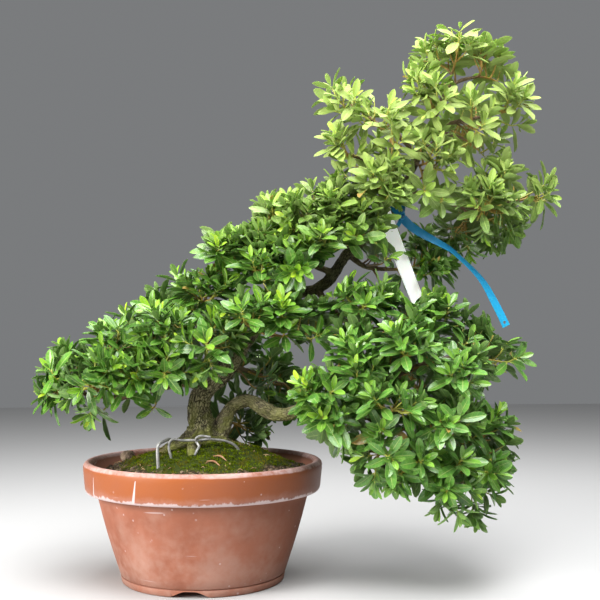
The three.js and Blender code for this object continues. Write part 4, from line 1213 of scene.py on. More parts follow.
# ---------------- the pot
@dataclass
class Pot(Part):
    """The training pot: a bowl with a tall band under its lip, on a notched foot ring.

    Attributes:
        lip_drop: How far under the rim the inner wall's line ends.
        wall_inset: How far the lip reaches in over that line.
        notch_flank: The share of a notch's half width over which its sides rise.
    """

    height: float = 150.0
    rim_radius: float = 150.0
    band_height: float = 38.0
    body_top_radius: float = 133.0
    body_foot: float = 11.2
    body_swell: float = 1.4
    foot_radius: float = 102.0
    foot_width: float = 16.0
    foot_height: float = 9.0
    lip_width: float = 12.0
    lip_drop: float = 4.0
    wall_inset: float = 2.0
    underside: float = 8.0
    floor_top: float = 18.0
    floor_radius: float = 92.0
    drain_radius: float = 16.0
    notch_turns: tuple[float, ...] = (-99.0, 21.0, 141.0)
    notch_width: float = 60.0
    notch_rise: float = 8.0
    notch_flank: float = 0.85
    notch_reach: float = 40.0
    notch_below: float = 0.6
    steps: int = 144

    @property
    def band_foot(self) -> float:
        """The height of the band's lower edge."""
        return self.height - self.band_height

    def inner_radius(self, height: float) -> float:
        """The inner wall's radius.

        Args:
            height: The height over the ground.

        Returns:
            The radius there.
        """
        share = (height - self.floor_top) / (self.height - self.lip_drop - self.floor_top)
        top_radius = self.rim_radius - self.lip_width - self.wall_inset
        return self.floor_radius + (top_radius - self.floor_radius) * share

    def profile(self) -> list[Row]:
        """The outline of the wall, from the drain hole round the foot, up the outside and down the inside.

        Returns:
            Its corners as radius and height.
        """
        foot, rim, top, ring_top = self.foot_radius, self.rim_radius, self.height, self.foot_height
        inner = foot - self.foot_width
        under = [[self.drain_radius, self.underside], [inner, self.underside], [inner + 1, 1.2]]
        ring = [[inner + 2.5, 0], [foot - 2.5, 0], [foot - 0.4, 1.6], [foot + 1, ring_top - 1]]
        groove = [[foot + 0.9, ring_top - 0.2], [foot - 0.7, ring_top + 0.6], [foot + 1.5, self.body_foot]]
        spread, rise = self.body_top_radius - foot - 1.5, self.band_foot - 1.0 - self.body_foot
        body = [
            [foot + 1.5 + spread * s + self.body_swell * math.sin(math.pi * s), self.body_foot + rise * s]
            for s in (0.12, 0.3, 0.5, 0.7, 0.9, 1.0)
        ]
        eaves = [[rim - back, self.band_foot + up] for back, up in ((7.5, 0.2), (4.6, 1), (3, 2.8), (2.3, 6))]
        band = [*eaves, [rim - 0.9, top - 18.0], [rim - 0.2, top - 11.0]]
        centre, lip = rim - self.lip_width / 2, self.lip_width / 2
        lips = [
            [centre + lip * math.cos(turn), top - lip + lip * math.sin(turn)]
            for turn in np.radians(range(0, 180, 22))
        ]
        inside = [[self.inner_radius(h), h] for h in (top - 14.0, 110.0, 70.0, self.floor_top + 4)]
        floor = [[self.floor_radius - 3, self.floor_top], [self.drain_radius, self.floor_top]]
        return [*under, *ring, *groove, *body, *band, *lips, *inside, *floor]

    def build(self) -> None:
        """Spins the wall, cuts the notches in its foot and hands the pot over."""
        pot = self.shop.turned("terracotta_pot", self.profile(), self.steps)
        for turn in self.notch_turns:
            cut(pot, self.notch(turn))
        finish = Terracotta(tuple(self.shop.axis), self.height, self.band_foot, self.rim_radius)
        self.shop.hand_over(pot, Slot.TERRACOTTA, [finish.material()], ["pot"], sharp=50.0)

    def notch(self, turn: float) -> Piece:
        """A rounded bar that cuts one notch through the foot ring.

        Args:
            turn: The notch's bearing in degrees.

        Returns:
            The bar.
        """
        bar = primitive(bpy.ops.mesh.primitive_cylinder_add, vertices=48, radius=1.0, depth=1.0)
        side, up, out = coordinates(bar.data).T
        slope = np.clip((1.0 - np.abs(side)) / self.notch_flank, 0.0, 1.0)
        swell = np.where(up > 0.0, slope * slope * (3 - 2 * slope), -0.5)
        radius, along = self.foot_radius + out * self.notch_reach, side * self.notch_width / 2
        height = swell * (self.notch_rise + self.notch_below) - self.notch_below
        cos, sin = math.cos(math.radians(turn)), math.sin(math.radians(turn))
        points = np.column_stack([radius * cos - along * sin, radius * sin + along * cos, height])
        cutter = self.shop.shaped("notch_cutter", points)
        clean(cutter)
        return cutter


# ---------------- the mound
@dataclass
class Mound(Part):
    """The potting soil with its cover of moss, and what lies on it.

    Attributes:
        pellet: The x, the y and the radius of the fertiliser pellet.
        banks: For each bank or hollow, its x, y, rise and half width.
        leaves: The two ends of each fallen leaf, as x and y.
    """

    pot: Pot
    crown: float = 173.0
    fall: float = 35.0
    reach: float = 130.0
    power: float = 1.4
    centre_x: float = 12.0
    edge_radius: float = 129.0
    edge_height: float = 150.0
    shoulder: float = 118.0
    floor_gap: float = 0.6
    wall_gap: float = 1.4
    rings: int = 60
    steps: int = 200
    tufts: int = 9000
    moss_reach: float = 104.0
    moss_centre: Span = (8.0, -14.0)
    moss_fade: float = 9.0
    grit_count: int = 420
    litter_count: int = 90
    pellet: tuple[float, float, float] = (-98.0, 40.0, 9.0)
    banks: tuple[Row, ...] = ((-60, -47, 8, 11), (12, -38, 8, 11), (66, -22, 4, 13), (104, 34, -9, 32))
    leaves: tuple[tuple[Row, Row], ...] = (((3, -84), (19, -94)), ((11, -72), (27, -80)))

    def top(self, x: float, y: float) -> float:
        """The mound's height over a point.

        Args:
            x: How far right of the axis the point is.
            y: How far behind it.

        Returns:
            The height.
        """
        out = math.hypot(x - self.centre_x, y)
        lumps = 1.6 * math.sin(x / 9) * math.cos(y / 11) + 1.2 * math.sin((x + y) / 17)
        banked = 0.0
        for x0, y0, rise, wide in self.banks:
            banked += rise * math.exp(-0.5 * math.hypot(x - x0, y - y0) ** 2 / wide**2)
        return self.crown - self.fall * (out / self.reach) ** self.power + lumps + banked

    def cover(self, x: float, y: float) -> float:
        """How much moss there is at a point.

        Args:
            x: How far right of the axis the point is.
            y: How far behind it.

        Returns:
            The share, from 0 to 1.
        """
        ragged = 16.0 * noise.noise(Vector((x / 22.0, y / 22.0, 3.7)))
        ragged += 9.0 * noise.noise(Vector((x / 7.0, y / 7.0, 1.3)))
        out = math.hypot(x - self.moss_centre[0], y - self.moss_centre[1]) + ragged
        return min(1.0, max(0.0, (self.moss_reach - out) / self.moss_fade))

    def soil(self) -> None:
        """Builds the soil, with its whole surface shaped."""
        bottom = self.pot.floor_top + self.floor_gap
        walls = [[self.pot.inner_radius(z) - self.wall_gap, z] for z in (bottom, self.shoulder)]
        shares = np.linspace(1.0, 0.0, self.rings)
        surface = [[self.edge_radius * share, self.edge_height] for share in shares]
        soil = self.shop.turned("mossy_soil", [[0.0, bottom], *walls, *surface], self.steps)
        points = self.shop.from_row(coordinates(soil.data))
        cover = np.zeros(len(points))
        for i in np.flatnonzero(points[:, 2] >= self.edge_height - 10.0):
            x, y, _ = points[i]
            cover[i] = self.cover(x, y)
            crumbs = 1.1 * noise.fractal(Vector((x / 5.0, y / 5.0, 0.0)), 1.0, 2.0, 4)
            points[i, 2] = self.top(x, y) + crumbs + 1.2 * cover[i]
        set_coordinates(soil.data, self.shop.to_row(points))
        give_values(soil.data, "moss", cover)
        self.shop.hand_over(soil, Slot.SOIL, [Earth().material()], ["soil"], sharp=60.0)

    def scattered(self, count: int, seed: int, reach: float) -> Points:
        """Random places on the mound, all alike in the chance of each.

        Args:
            count: How many.
            seed: What seeds them.
            reach: How far from the axis they lie at most.

        Returns:
            Rows of x, y and three more random numbers from 0 to 1.
        """
        dice = np.random.default_rng(seed)
        radius, turn = reach * np.sqrt(dice.random(count)), 2 * math.pi * dice.random(count)
        return np.column_stack([radius * np.cos(turn), radius * np.sin(turn), dice.random((count, 3))])

    def moss(self) -> None:
        """Builds the moss as cushions of small pointed shoots."""
        spike = primitive(bpy.ops.mesh.primitive_cone_add, vertices=3, radius1=1.0, depth=1.0)
        shape = coordinates(spike.data)
        shape[:, 2] += 0.5
        dice = np.random.default_rng(11)
        copies, tips = [], []
        for x, y, tall, *_ in self.scattered(self.tufts, 5, self.edge_radius - 2):
            cover = self.cover(x, y)
            if dice.random() > cover or math.hypot(x, y) > self.pot.inner_radius(self.edge_height) - 4:
                continue
            lump = 2.4 * noise.noise(Vector((x / 7.0, y / 7.0, 5.0)))
            foot = np.array([x, y, self.top(x, y) + (0.8 + lump) * cover])
            for _ in range(3):
                lean = (dice.random(2) - 0.5) * 1.4
                size = (1.6 + 2.0 * tall) * (0.7 + 0.5 * dice.random())
                spread = np.array([*(dice.random(2) - 0.5) * 2.2, -0.6])
                body = shape * [0.55, 0.55, size] + spread
                body[:, :2] += lean * (shape[:, 2:3] * size)
                copies.append(foot + body)
                tips.append(shape[:, 2] * (0.45 + 0.55 * dice.random()))
        moss = self.spread("moss", spike, copies)
        give_values(moss.data, "tip", np.array(tips).ravel())
        self.shop.hand_over(moss, Slot.SOIL, [Moss().material()], sharp=20.0)

    def spread(self, name: str, template: Piece, copies: list[Points]) -> Piece:
        """One piece with all the copies of a small shape, which is taken away.

        Args:
            name: The piece's name.
            template: The small shape.
            copies: The points of each copy.

        Returns:
            The piece.
        """
        mesh = many(template.data, self.shop.to_row(np.array(copies)), name)
        bpy.data.objects.remove(template)
        return self.shop.piece(name, mesh)

    def grit(self) -> None:
        """Builds the crumbs of grit and bark that lie where the moss is thin."""
        stone = primitive(bpy.ops.mesh.primitive_ico_sphere_add, subdivisions=1, radius=1.0)
        shape = coordinates(stone.data)
        copies = []
        for i, (x, y, *dice) in enumerate(self.scattered(self.grit_count * 3, 23, self.edge_radius - 3)):
            if self.cover(x, y) > 0.35 * dice[0] or len(copies) >= self.grit_count:
                continue
            size = 0.8 + 2.0 * dice[1] ** 2
            lumpy = shape * (0.75 + 0.5 * np.array([[draw(i * 40 + k)] for k in range(len(shape))]))
            copies.append([x, y, self.top(x, y) + 0.35 * size] + lumpy * [size * 1.25, size, size * 0.8])
        finish = Dry("grit", (0.16, 0.115, 0.07, 1.0), (0.035, 0.025, 0.016, 1.0), 55.0, 0.001)
        self.shop.hand_over(self.spread("grit", stone, copies), Slot.SOIL, [finish.material()])

    def litter(self) -> None:
        """Builds the straws, bud scales and bits of dry leaf on the moss."""
        lines = []
        for i, (x, y, *dice) in enumerate(self.scattered(self.litter_count, 31, self.edge_radius - 12)):
            turn, length = 2 * math.pi * dice[0], 3.0 + 8.0 * dice[1]
            step = np.array([math.cos(turn), math.sin(turn), 0.0]) * length / 2
            middle = np.array([x, y, self.top(x, y) + 2.6])
            bend = np.array([0.0, 0.0, 0.6 + 1.4 * draw(700 + i)])
            thick = 0.35 + 0.35 * dice[2]
            places = ((middle - step, 0.25 * thick), (middle + bend, thick), (middle + step, 0.25 * thick))
            lines.append(smooth_line([[*place, radius] for place, radius in places], 3))
        finish = Dry("litter", (0.32, 0.23, 0.11, 1.0), (0.16, 0.08, 0.035, 1.0), 90.0, 0.0006)
        self.shop.hand_over(self.shop.rods("litter", lines, 0), Slot.SOIL, [finish.material()])

    def fallen_leaves(self) -> None:
        """Builds the two dry leaves that have rolled up lengthwise."""
        finish = Dry("dry_leaf", (0.38, 0.22, 0.115, 1.0), (0.22, 0.1, 0.045, 1.0), 120.0, 0.0005).material()
        for number, ((x0, y0), (x1, y1)) in enumerate(self.leaves, 1):
            x, y = (x0 + x1) / 2, (y0 + y1) / 2
            start = [x0, y0, self.top(x0, y0) + 1.9, 0.5]
            middle = [x + 0.8, y + 1.2, self.top(x, y) + 4.3, 1.15]
            end = [x1, y1, self.top(x1, y1) + 1.9, 0.4]
            leaf = self.shop.rods(f"dry_leaf_{number}", [smooth_line([start, middle, end], 10)], 3)
            points = coordinates(leaf.data)
            points[:, 2] += 0.0002 * noise_at(points / MM, 2.0)
            set_coordinates(leaf.data, points)
            self.shop.hand_over(leaf, Slot.DRY_LEAF, [finish], [f"fallen_leaf_{number}"])

    def feed(self) -> None:
        """Builds the pellet of pressed fertiliser."""
        x, y, radius = self.pellet
        ball = primitive(bpy.ops.mesh.primitive_ico_sphere_add, subdivisions=5, radius=1.0)
        points = coordinates(ball.data)
        swell = 1.0 + 0.1 * noise_at(points, 0.7) + 0.07 * noise_at(points, 0.2)
        body = points * swell[:, None] * [radius * 1.1, radius, radius * 0.85]
        pellet = self.shop.shaped("feed_pellet", body + [x, y, self.top(x, y) + radius * 0.8])
        finish = Dry("pressed_cake", (0.3, 0.22, 0.15, 1.0), (0.075, 0.048, 0.032, 1.0), 130.0, 0.0015)
        self.shop.hand_over(pellet, Slot.PELLET, [finish.material()], ["fertiliser_pellet"])

    def build(self) -> None:
        """Builds the soil, the moss and all that lies on them."""
        for part in (self.soil, self.moss, self.grit, self.litter, self.fallen_leaves, self.feed):
            part()


# ---------------- the wood
@dataclass
class Wood(Part):
    """The trunk, its roots and its branches, grown together and covered with bark.

    Attributes:
        thin: The radius under which bark turns to twig, and stout the radius over which painted light pales
            the ridges of the shaded trunk.
    """

    voxel: float = 1.25
    smooth_steps: int = 5
    stub_length: float = 7.0
    stub_radius: float = 2.3
    ground: float = 155.0
    flare_top: float = 208.0
    flare_reach: float = 60.0
    thin: float = 5.5
    stout_painted_light: float = 10.5
    grain_stretch: float = 0.42
    lines: list[Points] = field(default_factory=list)

    def seat(self, spray: Spray) -> tuple[Points | None, Points, Points]:
        """Where a leafy stem starts.

        Args:
            spray: The stem.

        Returns:
            The stub's root, or None where it has no stub, its seat, and the way on.
        """
        point, radius, way = place_on(LIMBS[spray.limb], spray.share)
        if spray.share == 1:
            return None, point, way
        way = unit(np.mean(spray.tips, axis=0) - point)
        return point, point + way * (radius + self.stub_length), way

    def limbs(self) -> list[Points]:
        """All the woody lines with their radii, made soft.

        Returns:
            The lines, as rows of x, y, z and radius.
        """
        lines = [smooth_line(points, self.smooth_steps) for points in [*LIMBS.values(), *ROOTS]]
        for spray in SPRAYS.values():
            root, seat, _ = self.seat(spray)
            if root is not None:
                lines.append(np.array([[*root, self.stub_radius + 0.6], [*seat, self.stub_radius - 0.2]]))
        return lines

    def build(self) -> None:
        """Grows all the limbs into one skin, and works the bark into it."""
        self.lines = self.limbs()
        trunk = self.shop.rods("trunk_and_branches", self.lines, 4)
        modify(trunk, "REMESH", mode="VOXEL", voxel_size=self.voxel * MM)
        modify(trunk, "SMOOTH", factor=0.5, iterations=3)
        points = self.shop.from_row(coordinates(trunk.data))
        place, size = self.bark_place(points)
        x, y, z = points.T
        depth = np.clip(size / 14.0, 0.12, 1.0)
        ridges = noise_at(place, 3.4, 3) * 1.5 + noise_at(place + 40.0, 9.0, 2) * 1.9
        knots = np.clip(noise_at(points, 21.0, 2), 0.0, 1.0) * 1.6
        bearing = np.arctan2(y, x)
        around = np.column_stack([np.cos(bearing), np.sin(bearing), z / 90.0])
        flare = ramp(z, self.flare_top, -25.0) * ramp(np.hypot(x, y), self.flare_reach, -20.0)
        flutes = noise_at(around, 0.32, 2) * 4.5 * flare
        moved = points + coordinates(trunk.data, "normal") * ((ridges + knots) * depth + flutes)[:, None]
        set_coordinates(trunk.data, self.shop.to_row(moved))
        give_values(trunk.data, "bark_place", place)
        give_values(trunk.data, "thin", ramp(size, self.thin, -3.0))
        give_values(trunk.data, "stout_painted_light", ramp(size, self.stout_painted_light, 3.0))
        finish = Bark(float(self.shop.axis.z) + self.ground * MM)
        self.shop.hand_over(trunk, Slot.BARK, [finish.material()], ["trunk"], sharp=80.0)

    def bark_place(self, points: Points) -> tuple[Points, Points]:
        """For each point, a place in a space where the bark's grain runs along the limb.

        Args:
            points: The points of the skin.

        Returns:
            The places, stretched along each limb, and the limbs' radii there.
        """
        frames, run = [], []
        for line in self.lines:
            steps = np.linalg.norm(np.diff(line[:, :3], axis=0, prepend=line[:1, :3]), axis=1)
            frames.append((line, *carried_frames(line[:, :3])))
            run.append(np.cumsum(steps) + 1000.0 * len(run))
        row, way, side, other = (np.vstack(rows) for rows in zip(*frames))
        tree = KDTree(len(row))
        for i, place in enumerate(row[:, :3]):
            tree.insert(place, i)
        tree.balance()
        nearest = np.array(
            [min(tree.find_n(point, 6), key=lambda found: found[2] - row[found[1], 3])[1] for point in points]
        )
        off = points - row[nearest, :3]
        beside, above, ahead = (np.einsum("ij,ij->i", off, axis[nearest]) for axis in (side, other, way))
        ahead = ahead + np.concatenate(run)[nearest]
        return np.column_stack([beside, above, ahead * self.grain_stretch]), row[nearest, 3]


# ---------------- the foliage
def bent(start: Points, bend: Points, end: Points, share: float | Points) -> Points:
    """The place at a share of an arc that leaves its start, and reaches its end, on the way to a bend."""
    return start * (1 - share) ** 2 + bend * 2 * share * (1 - share) + end * share**2


def tapered(line: Points, radii: Span) -> Points:
    """A line's places with a radius that goes from the first of two to the second."""
    return np.column_stack([line, np.linspace(*radii, len(line))])


@dataclass(frozen=True)
class Blade:
    """The form of one leaf: it widens beyond its middle and comes to a short point.

    Attributes:
        stations: The shares of its length at which its outline is given.
        widths: Its half width at each of them, as a share of the widest.
        length: The length of the oldest leaves.
        width_share: Its width, as a share of its length.
        fold: How far the margins rise over the midrib, as a share of the width.
        droop: How far the tip hangs, as a share of the length.
        thickness: How thick it is at the midrib.
    """

    stations: tuple[float, ...] = (0.0, 0.12, 0.33, 0.58, 0.8, 0.94, 1.0)
    widths: tuple[float, ...] = (0.0, 0.2, 0.72, 1.0, 0.86, 0.46, 0.0)
    length: float = 32.5
    width_share: float = 0.35
    fold: float = 0.1
    droop: float = 0.14
    thickness: float = 0.45

    def sheet(self, columns: int, below: float) -> Piece:
        """One face of the leaf. Its x is across, its y along, and its z tells the lower face's midrib.

        Args:
            columns: How many faces wide it is.
            below: The z of all its points within the outline.

        Returns:
            The sheet, one unit long, with its margins up to 1 from the midrib.
        """
        rows = len(self.stations) - 1
        faces = dict(x_subdivisions=columns, y_subdivisions=rows)
        sheet = primitive(bpy.ops.mesh.primitive_grid_add, size=1.0, **faces)
        x, y, _ = coordinates(sheet.data).T
        row, side = np.rint((y + 0.5) * rows).astype(int), 2 * x
        inner = (np.abs(side) < 0.99) & (row > 0) & (row < rows)
        width, along = np.array(self.widths)[row], np.array(self.stations)[row]
        set_coordinates(sheet.data, np.column_stack([side * width, along, below * inner]))
        return sheet

    def model(self) -> Piece:
        """Models one leaf: two faces that meet at the margin.

        Returns:
            The leaf.
        """
        lower = self.sheet(2, -1.0)
        upper = self.sheet(4, 0.0)
        join(upper, lower)
        clean(upper, 1e-5)
        return upper


@dataclass
class Leaf:
    """One leaf in its place on a shoot.

    Attributes:
        along: The way from its root to its tip.
        face: The way that its upper face looks.
        young: Its age on the shoot, from 0 for the oldest to 1 for the newest.
        tint: Its own shade, from 0 to 1.
        curl: How far it curls, from 0 to 1.
        flush: How bright its shoot's new growth is, from 0 to 1.
    """

    root: Points
    along: Points
    face: Points
    length: float
    young: float
    tint: float
    curl: float
    flush: float

    @property
    def middle(self) -> Points:
        """The middle of its midrib."""
        return self.root + self.along * self.length / 2

    @property
    def tip(self) -> Points:
        """Its far end."""
        return self.root + self.along * self.length


@dataclass(frozen=True)
class Clearing:
    """A strip that hangs free: no leaf or twig lies before it.

    Attributes:
        line: The strip's middle line, as x and z.
        depth: The strip's y.
        margin: How far from the line the leaves stay away.
        distance: How far before the pot's axis the plant is looked at from, and how high.
    """

    line: tuple[Row, ...]
    depth: float
    margin: float
    distance: tuple[float, float] = (1300.0, 310.0)

    def covered(self, points: tuple[Points, ...]) -> bool:
        """Whether one of a leaf's or a twig's points lies before the strip."""
        return any(point[1] < self.depth and self.gap(point) < self.margin for point in points)

    def gap(self, point: Points) -> float:
        """How far beside the strip a point is seen.

        Args:
            point: The point.

        Returns:
            The distance from the strip's line.
        """
        back, eye = self.distance
        share = (self.depth + back) / (point[1] + back)
        seen = np.array([point[0] * share, eye + (point[2] - eye) * share])
        rows = np.array(self.line, float)
        steps = np.diff(rows, axis=0)
        shares = np.einsum("ij,ij->i", seen - rows[:-1], steps) / np.einsum("ij,ij->i", steps, steps)
        nearest = rows[:-1] + steps * np.clip(shares, 0, 1)[:, None]
        return float(np.linalg.norm(seen - nearest, axis=1).min())


@dataclass
class Foliage(Part):
    """The leafy stems: each has a terminal shoot and side shoots, with spirals of leaves.

    Attributes:
        room: The two corners of the plant's own reach.
        lateral: Which shoot has the long twig, of about the reach, where the others have near_reach.
        open_from: The height from which the crown is more open, with fewer shoots and leaves.
        lone: For each single shoot, its limb, its share of it, and where its leaves begin.
        clearings: The strips that no leaf hides, and label_line one that no twig crosses.
    """

    wood: Wood
    blade: Blade
    room: tuple[Points, Points]
    per_shoot: int = 11
    shoots: int = 7
    between: int = 3
    lateral: int = 3
    leafy: float = 18.0
    reach: float = 28.0
    near_reach: float = 17.0
    open_from: float = 480.0
    open_shoots: int = 6
    open_leaves: int = 9
    open_pitch: float = 24.0
    gap: float = 0.3
    foot: float = 4.0
    old_lean: float = 78.0
    young_lean: float = 24.0
    lean_spread: float = 16.0
    flushing: float = 0.3
    spur_pitch: float = 11.0
    spur_start: float = 0.25
    spur_limit: float = 4.6
    spur_leaves: int = 9
    stem_radii: Span = (1.9, 0.8)
    twig_radii: Span = (1.4, 0.8)
    slack: float = 3.0
    pot_room: Span = (156.0, 158.0)
    crown_span: Span = (400.0, 130.0)
    lone: tuple[tuple[str, float, Row], ...] = (
        ("right_mid", 0.35, (214, 2, 402)), ("right_mid", 0.5, (226, 22, 414)),
        ("right_mid", 0.7, (247, 16, 412)), ("right_mid", 0.85, (262, 4, 392)),
        ("right_mid", 0.9, (274, 26, 408)), ("right_mid", 1.0, (300, 14, 388)),
        ("right_mid", 1.0, (282, -2, 384)), ("mid_up", 0.55, (141, -10, 478)),
        ("mid_up", 0.3, (166, -16, 486)), ("top_right2", 0.95, (400, -5, 582)),
        ("top_left", 0.55, (190, -20, 508)), ("arch_right", 0.9, (326, -45, 318)),
        ("arch_right", 1.0, (346, -45, 306)), ("left_back", 0.3, (40, 60, 262)),
        ("low_back", 0.3, (62, 30, 240)), ("top_right", 1.0, (440, -6, 500)),
        ("right_mid", 0.35, (224, -30, 397)),
    )
    clearings: tuple[Clearing, ...] = (
        Clearing(
            ((262, 450), (281, 436), (316, 417), (343, 393), (364, 367), (381, 335), (391, 316)), -17.0, 13.0
        ),
        Clearing(((241, 436), (245, 426)), -8.0, 10.0),
        Clearing(((258, 392), (270, 362)), -8.0, 12.0),
        Clearing(((184, 411), (161, 380), (149, 369)), -8.0, 11.0),
        Clearing(((237, 636), (262, 668)), 60.0, 9.0),
        Clearing(((-82, 180), (-40, 180)), 60.0, 13.0),
        Clearing(((1, 461), (53, 473)), 60.0, 9.0),
    )
    label_line: tuple[Clearing, ...] = (Clearing(((240, 440), (270, 362)), -8.0, 9.0),)

    def build(self) -> None:
        """Builds every leafy stem, and the short shoots along the thin limbs."""
        leaf = self.blade.model()
        materials = [LeafSkin().material(), GreenTwig().material()]
        for number, (name, spray) in enumerate(SPRAYS.items()):
            self.dress(f"foliage_{name}", [f"spray_{name}"], *self.grow(spray, number), leaf.data, materials)
        for number, name in enumerate(LIMBS):
            stems, leaves = self.spurs(name, 500 + number)
            if leaves:
                self.dress(f"shoots_{name}", [], stems, leaves, leaf.data, materials)
        bpy.data.objects.remove(leaf)

    def grow(self, spray: Spray, number: int) -> tuple[list[Points], list[Leaf]]:
        """The stems and the leaves of one spray, all by rule.

        Args:
            spray: The spray.
            number: Its number, which seeds what is drawn.

        Returns:
            The stems as rows of x, y, z and radius, and the leaves.
        """
        _, seat, way = self.wood.seat(spray)
        foot = seat + way * self.gap
        knee = foot + way * self.foot
        stems: list[Points] = []
        leaves: list[Leaf] = []
        for t, tip in enumerate(np.array(spray.tips, float)):
            reach = np.linalg.norm(tip - knee)
            bend = ((knee + tip) / 2 + knee + way * reach / 2) / 2
            curve = bent(knee, bend, tip, np.linspace(0, 1, 9)[:, None])
            end = tip + unit(tip - bend) * self.leafy
            stems.append(tapered(np.vstack([foot - way * 2.0, curve, end]), self.stem_radii))
            key = (number * 3 + t) * 1000
            open_ = tip[2] > self.open_from
            shoots, between = (self.open_shoots, 0) if open_ else (self.shoots, self.between)
            for k in range(shoots + between):
                share = 1 - 0.84 * k / shoots if k < shoots else 0.93 - 0.18 * (k - shoots)
                base = bent(knee, bend, tip, share)
                tangent = unit((bend - knee) * (1 - share) + (tip - bend) * share)
                turn = k * GOLDEN_ANGLE + 2 * math.pi * draw(key + k)
                long = self.reach if k == self.lateral else self.near_reach
                long = long * (0.7 + 0.45 * draw(key + 20 + k)) * (k > 0)
                side, more = self.side_shoot(base, tangent, turn, spray.lift, long, key + 40 + 40 * k)
                stems += side
                leaves += more
        return stems, leaves

    def side_shoot(
        self, base: Points, tangent: Points, turn: float, lift: float, reach: float, key: int
    ) -> tuple[list[Points], list[Leaf]]:
        """One shoot, with the twig that carries it.

        Args:
            base: Where it leaves its stem.
            tangent: The stem's way there.
            turn: The side of the stem that it grows from, as an angle.
            lift: How much it turns upwards.
            reach: The length of its twig, 0 for the stem's own end.
            key: The seed of what is drawn.

        Returns:
            The twig, if there is one, and the leaves.
        """
        u, v = across(tangent)
        heading = tangent * (0.45 if reach else 1.0)
        if reach:
            heading = heading + 0.9 * (u * math.cos(turn) + v * math.sin(turn))
        heading = unit(heading + UP * lift)
        neck = base + heading * reach
        axis = unit(heading + UP * lift)
        count = self.open_leaves if neck[2] > self.open_from else self.per_shoot
        leaves = self.spiral(neck, axis, turn, key, count)
        if not reach:
            return [], leaves
        if not leaves or self.hides(self.clearings + self.label_line, neck, neck + axis * self.leafy):
            return [], []
        bow = unit(heading * 0.5 + tangent) * 0.06 * reach
        twig = smooth_line([base, (base + neck) / 2 + bow, neck, neck + axis * self.leafy * 0.8], 2)
        return [tapered(twig, self.twig_radii)], leaves

    def spiral(self, neck: Points, axis: Points, turn: float, key: int, count: int) -> list[Leaf]:
        """The leaves of one shoot that have room, in a spiral that closes towards the tip.

        Args:
            neck: Where its leaves begin.
            axis: Its way on.
            turn: The angle at which the spiral begins.
            key: The seed of what is drawn.
            count: How many leaves it would have.

        Returns:
            The leaves that fit.
        """
        u, v = across(axis)
        flush = 1.0 if draw(key + 35.5) < self.flushing else 0.66 + 0.2 * draw(key + 36.5)
        leaves = []
        for m in range(count):
            young = m / (count - 1)
            azimuth = turn + m * GOLDEN_ANGLE + 0.16 * (draw(key + m) - 0.5)
            mean = self.old_lean + (self.young_lean - self.old_lean) * young
            lean = math.radians(mean + self.lean_spread * (draw(key + 12 + m) - 0.5))
            outward = u * math.cos(azimuth) + v * math.sin(azimuth)
            along = axis * math.cos(lean) + outward * math.sin(lean)
            face = unit(axis - along * axis.dot(along))
            length = self.blade.length * (1.04 - 0.54 * young * young) * (0.84 + 0.32 * draw(key + 24 + m))
            root = neck + axis * self.leafy * young
            tint, curl = draw(key + 7.5 + m), draw(key + 18.5 + m)
            leaves.append(Leaf(root, along, face, length, young, tint, curl, flush))
        return [leaf for leaf in leaves if self.fits(leaf)]

    def spurs(self, name: str, number: int) -> tuple[list[Points], list[Leaf]]:
        """The short shoots that stand along one limb, where it is thin enough.

        Args:
            name: The limb's name.
            number: A number that seeds what is drawn.

        Returns:
            The twigs and the leaves.
        """
        rows = np.array(LIMBS[name], float)
        span = float(np.linalg.norm(np.diff(rows[:, :3], axis=0), axis=1).sum())
        stems: list[Points] = []
        leaves: list[Leaf] = []
        starts: list[tuple] = []
        pitch = self.spur_pitch if rows[-1, 2] < self.open_from else self.open_pitch
        for i in range(int(span * (1 - self.spur_start) / pitch)):
            key = number * 1000 + 60 * i
            place, radius, way = place_on(LIMBS[name], self.spur_start + (i + draw(key)) * pitch / span)
            if radius > self.spur_limit:
                continue
            u, v = across(way)
            turn = i * GOLDEN_ANGLE + number
            heading = unit(0.8 * (u * math.cos(turn) + v * math.sin(turn)) + way * 0.35 + UP * 0.3)
            neck = place + heading * (radius + 10.0 + 20.0 * draw(key + 1))
            starts.append((place, neck, way, turn, key + 2))
        for i, (limb, share, point) in enumerate(self.lone):
            if limb == name:
                place, _, way = place_on(LIMBS[name], share)
                starts.append((place, np.array(point, float), way, i * GOLDEN_ANGLE, 900000 + 60 * i))
        for place, neck, way, turn, key in starts:
            axis = unit(unit(neck - place) + UP * 0.5)
            grown = self.spiral(neck, axis, turn, key, self.spur_leaves)
            if grown and not self.hides(self.clearings + self.label_line, neck, neck + axis * self.leafy):
                twig = smooth_line([place, (place + neck) / 2 + way, neck, neck + axis * self.leafy * 0.7], 2)
                stems.append(tapered(twig, self.twig_radii))
                leaves += grown
        return stems, leaves

    def fits(self, leaf: Leaf) -> bool:
        """Whether a leaf stays within the plant's own reach, off the pot, and clear of what shows.

        Args:
            leaf: The leaf.

        Returns:
            True where it does.
        """
        (low, high), (pot_radius, pot_top), tip = self.room, self.pot_room, leaf.tip
        inside = bool(np.all(tip > low - self.slack) and np.all(tip < high + self.slack))
        over_pot = tip[2] < pot_top and math.hypot(tip[0], tip[1]) < pot_radius
        return inside and not over_pot and not self.hides(self.clearings, leaf.root, leaf.middle, tip)

    def hides(self, strips: tuple[Clearing, ...], *points: Points) -> bool:
        """Whether one of the points lies before one of the strips."""
        return any(strip.covered(points) for strip in strips)

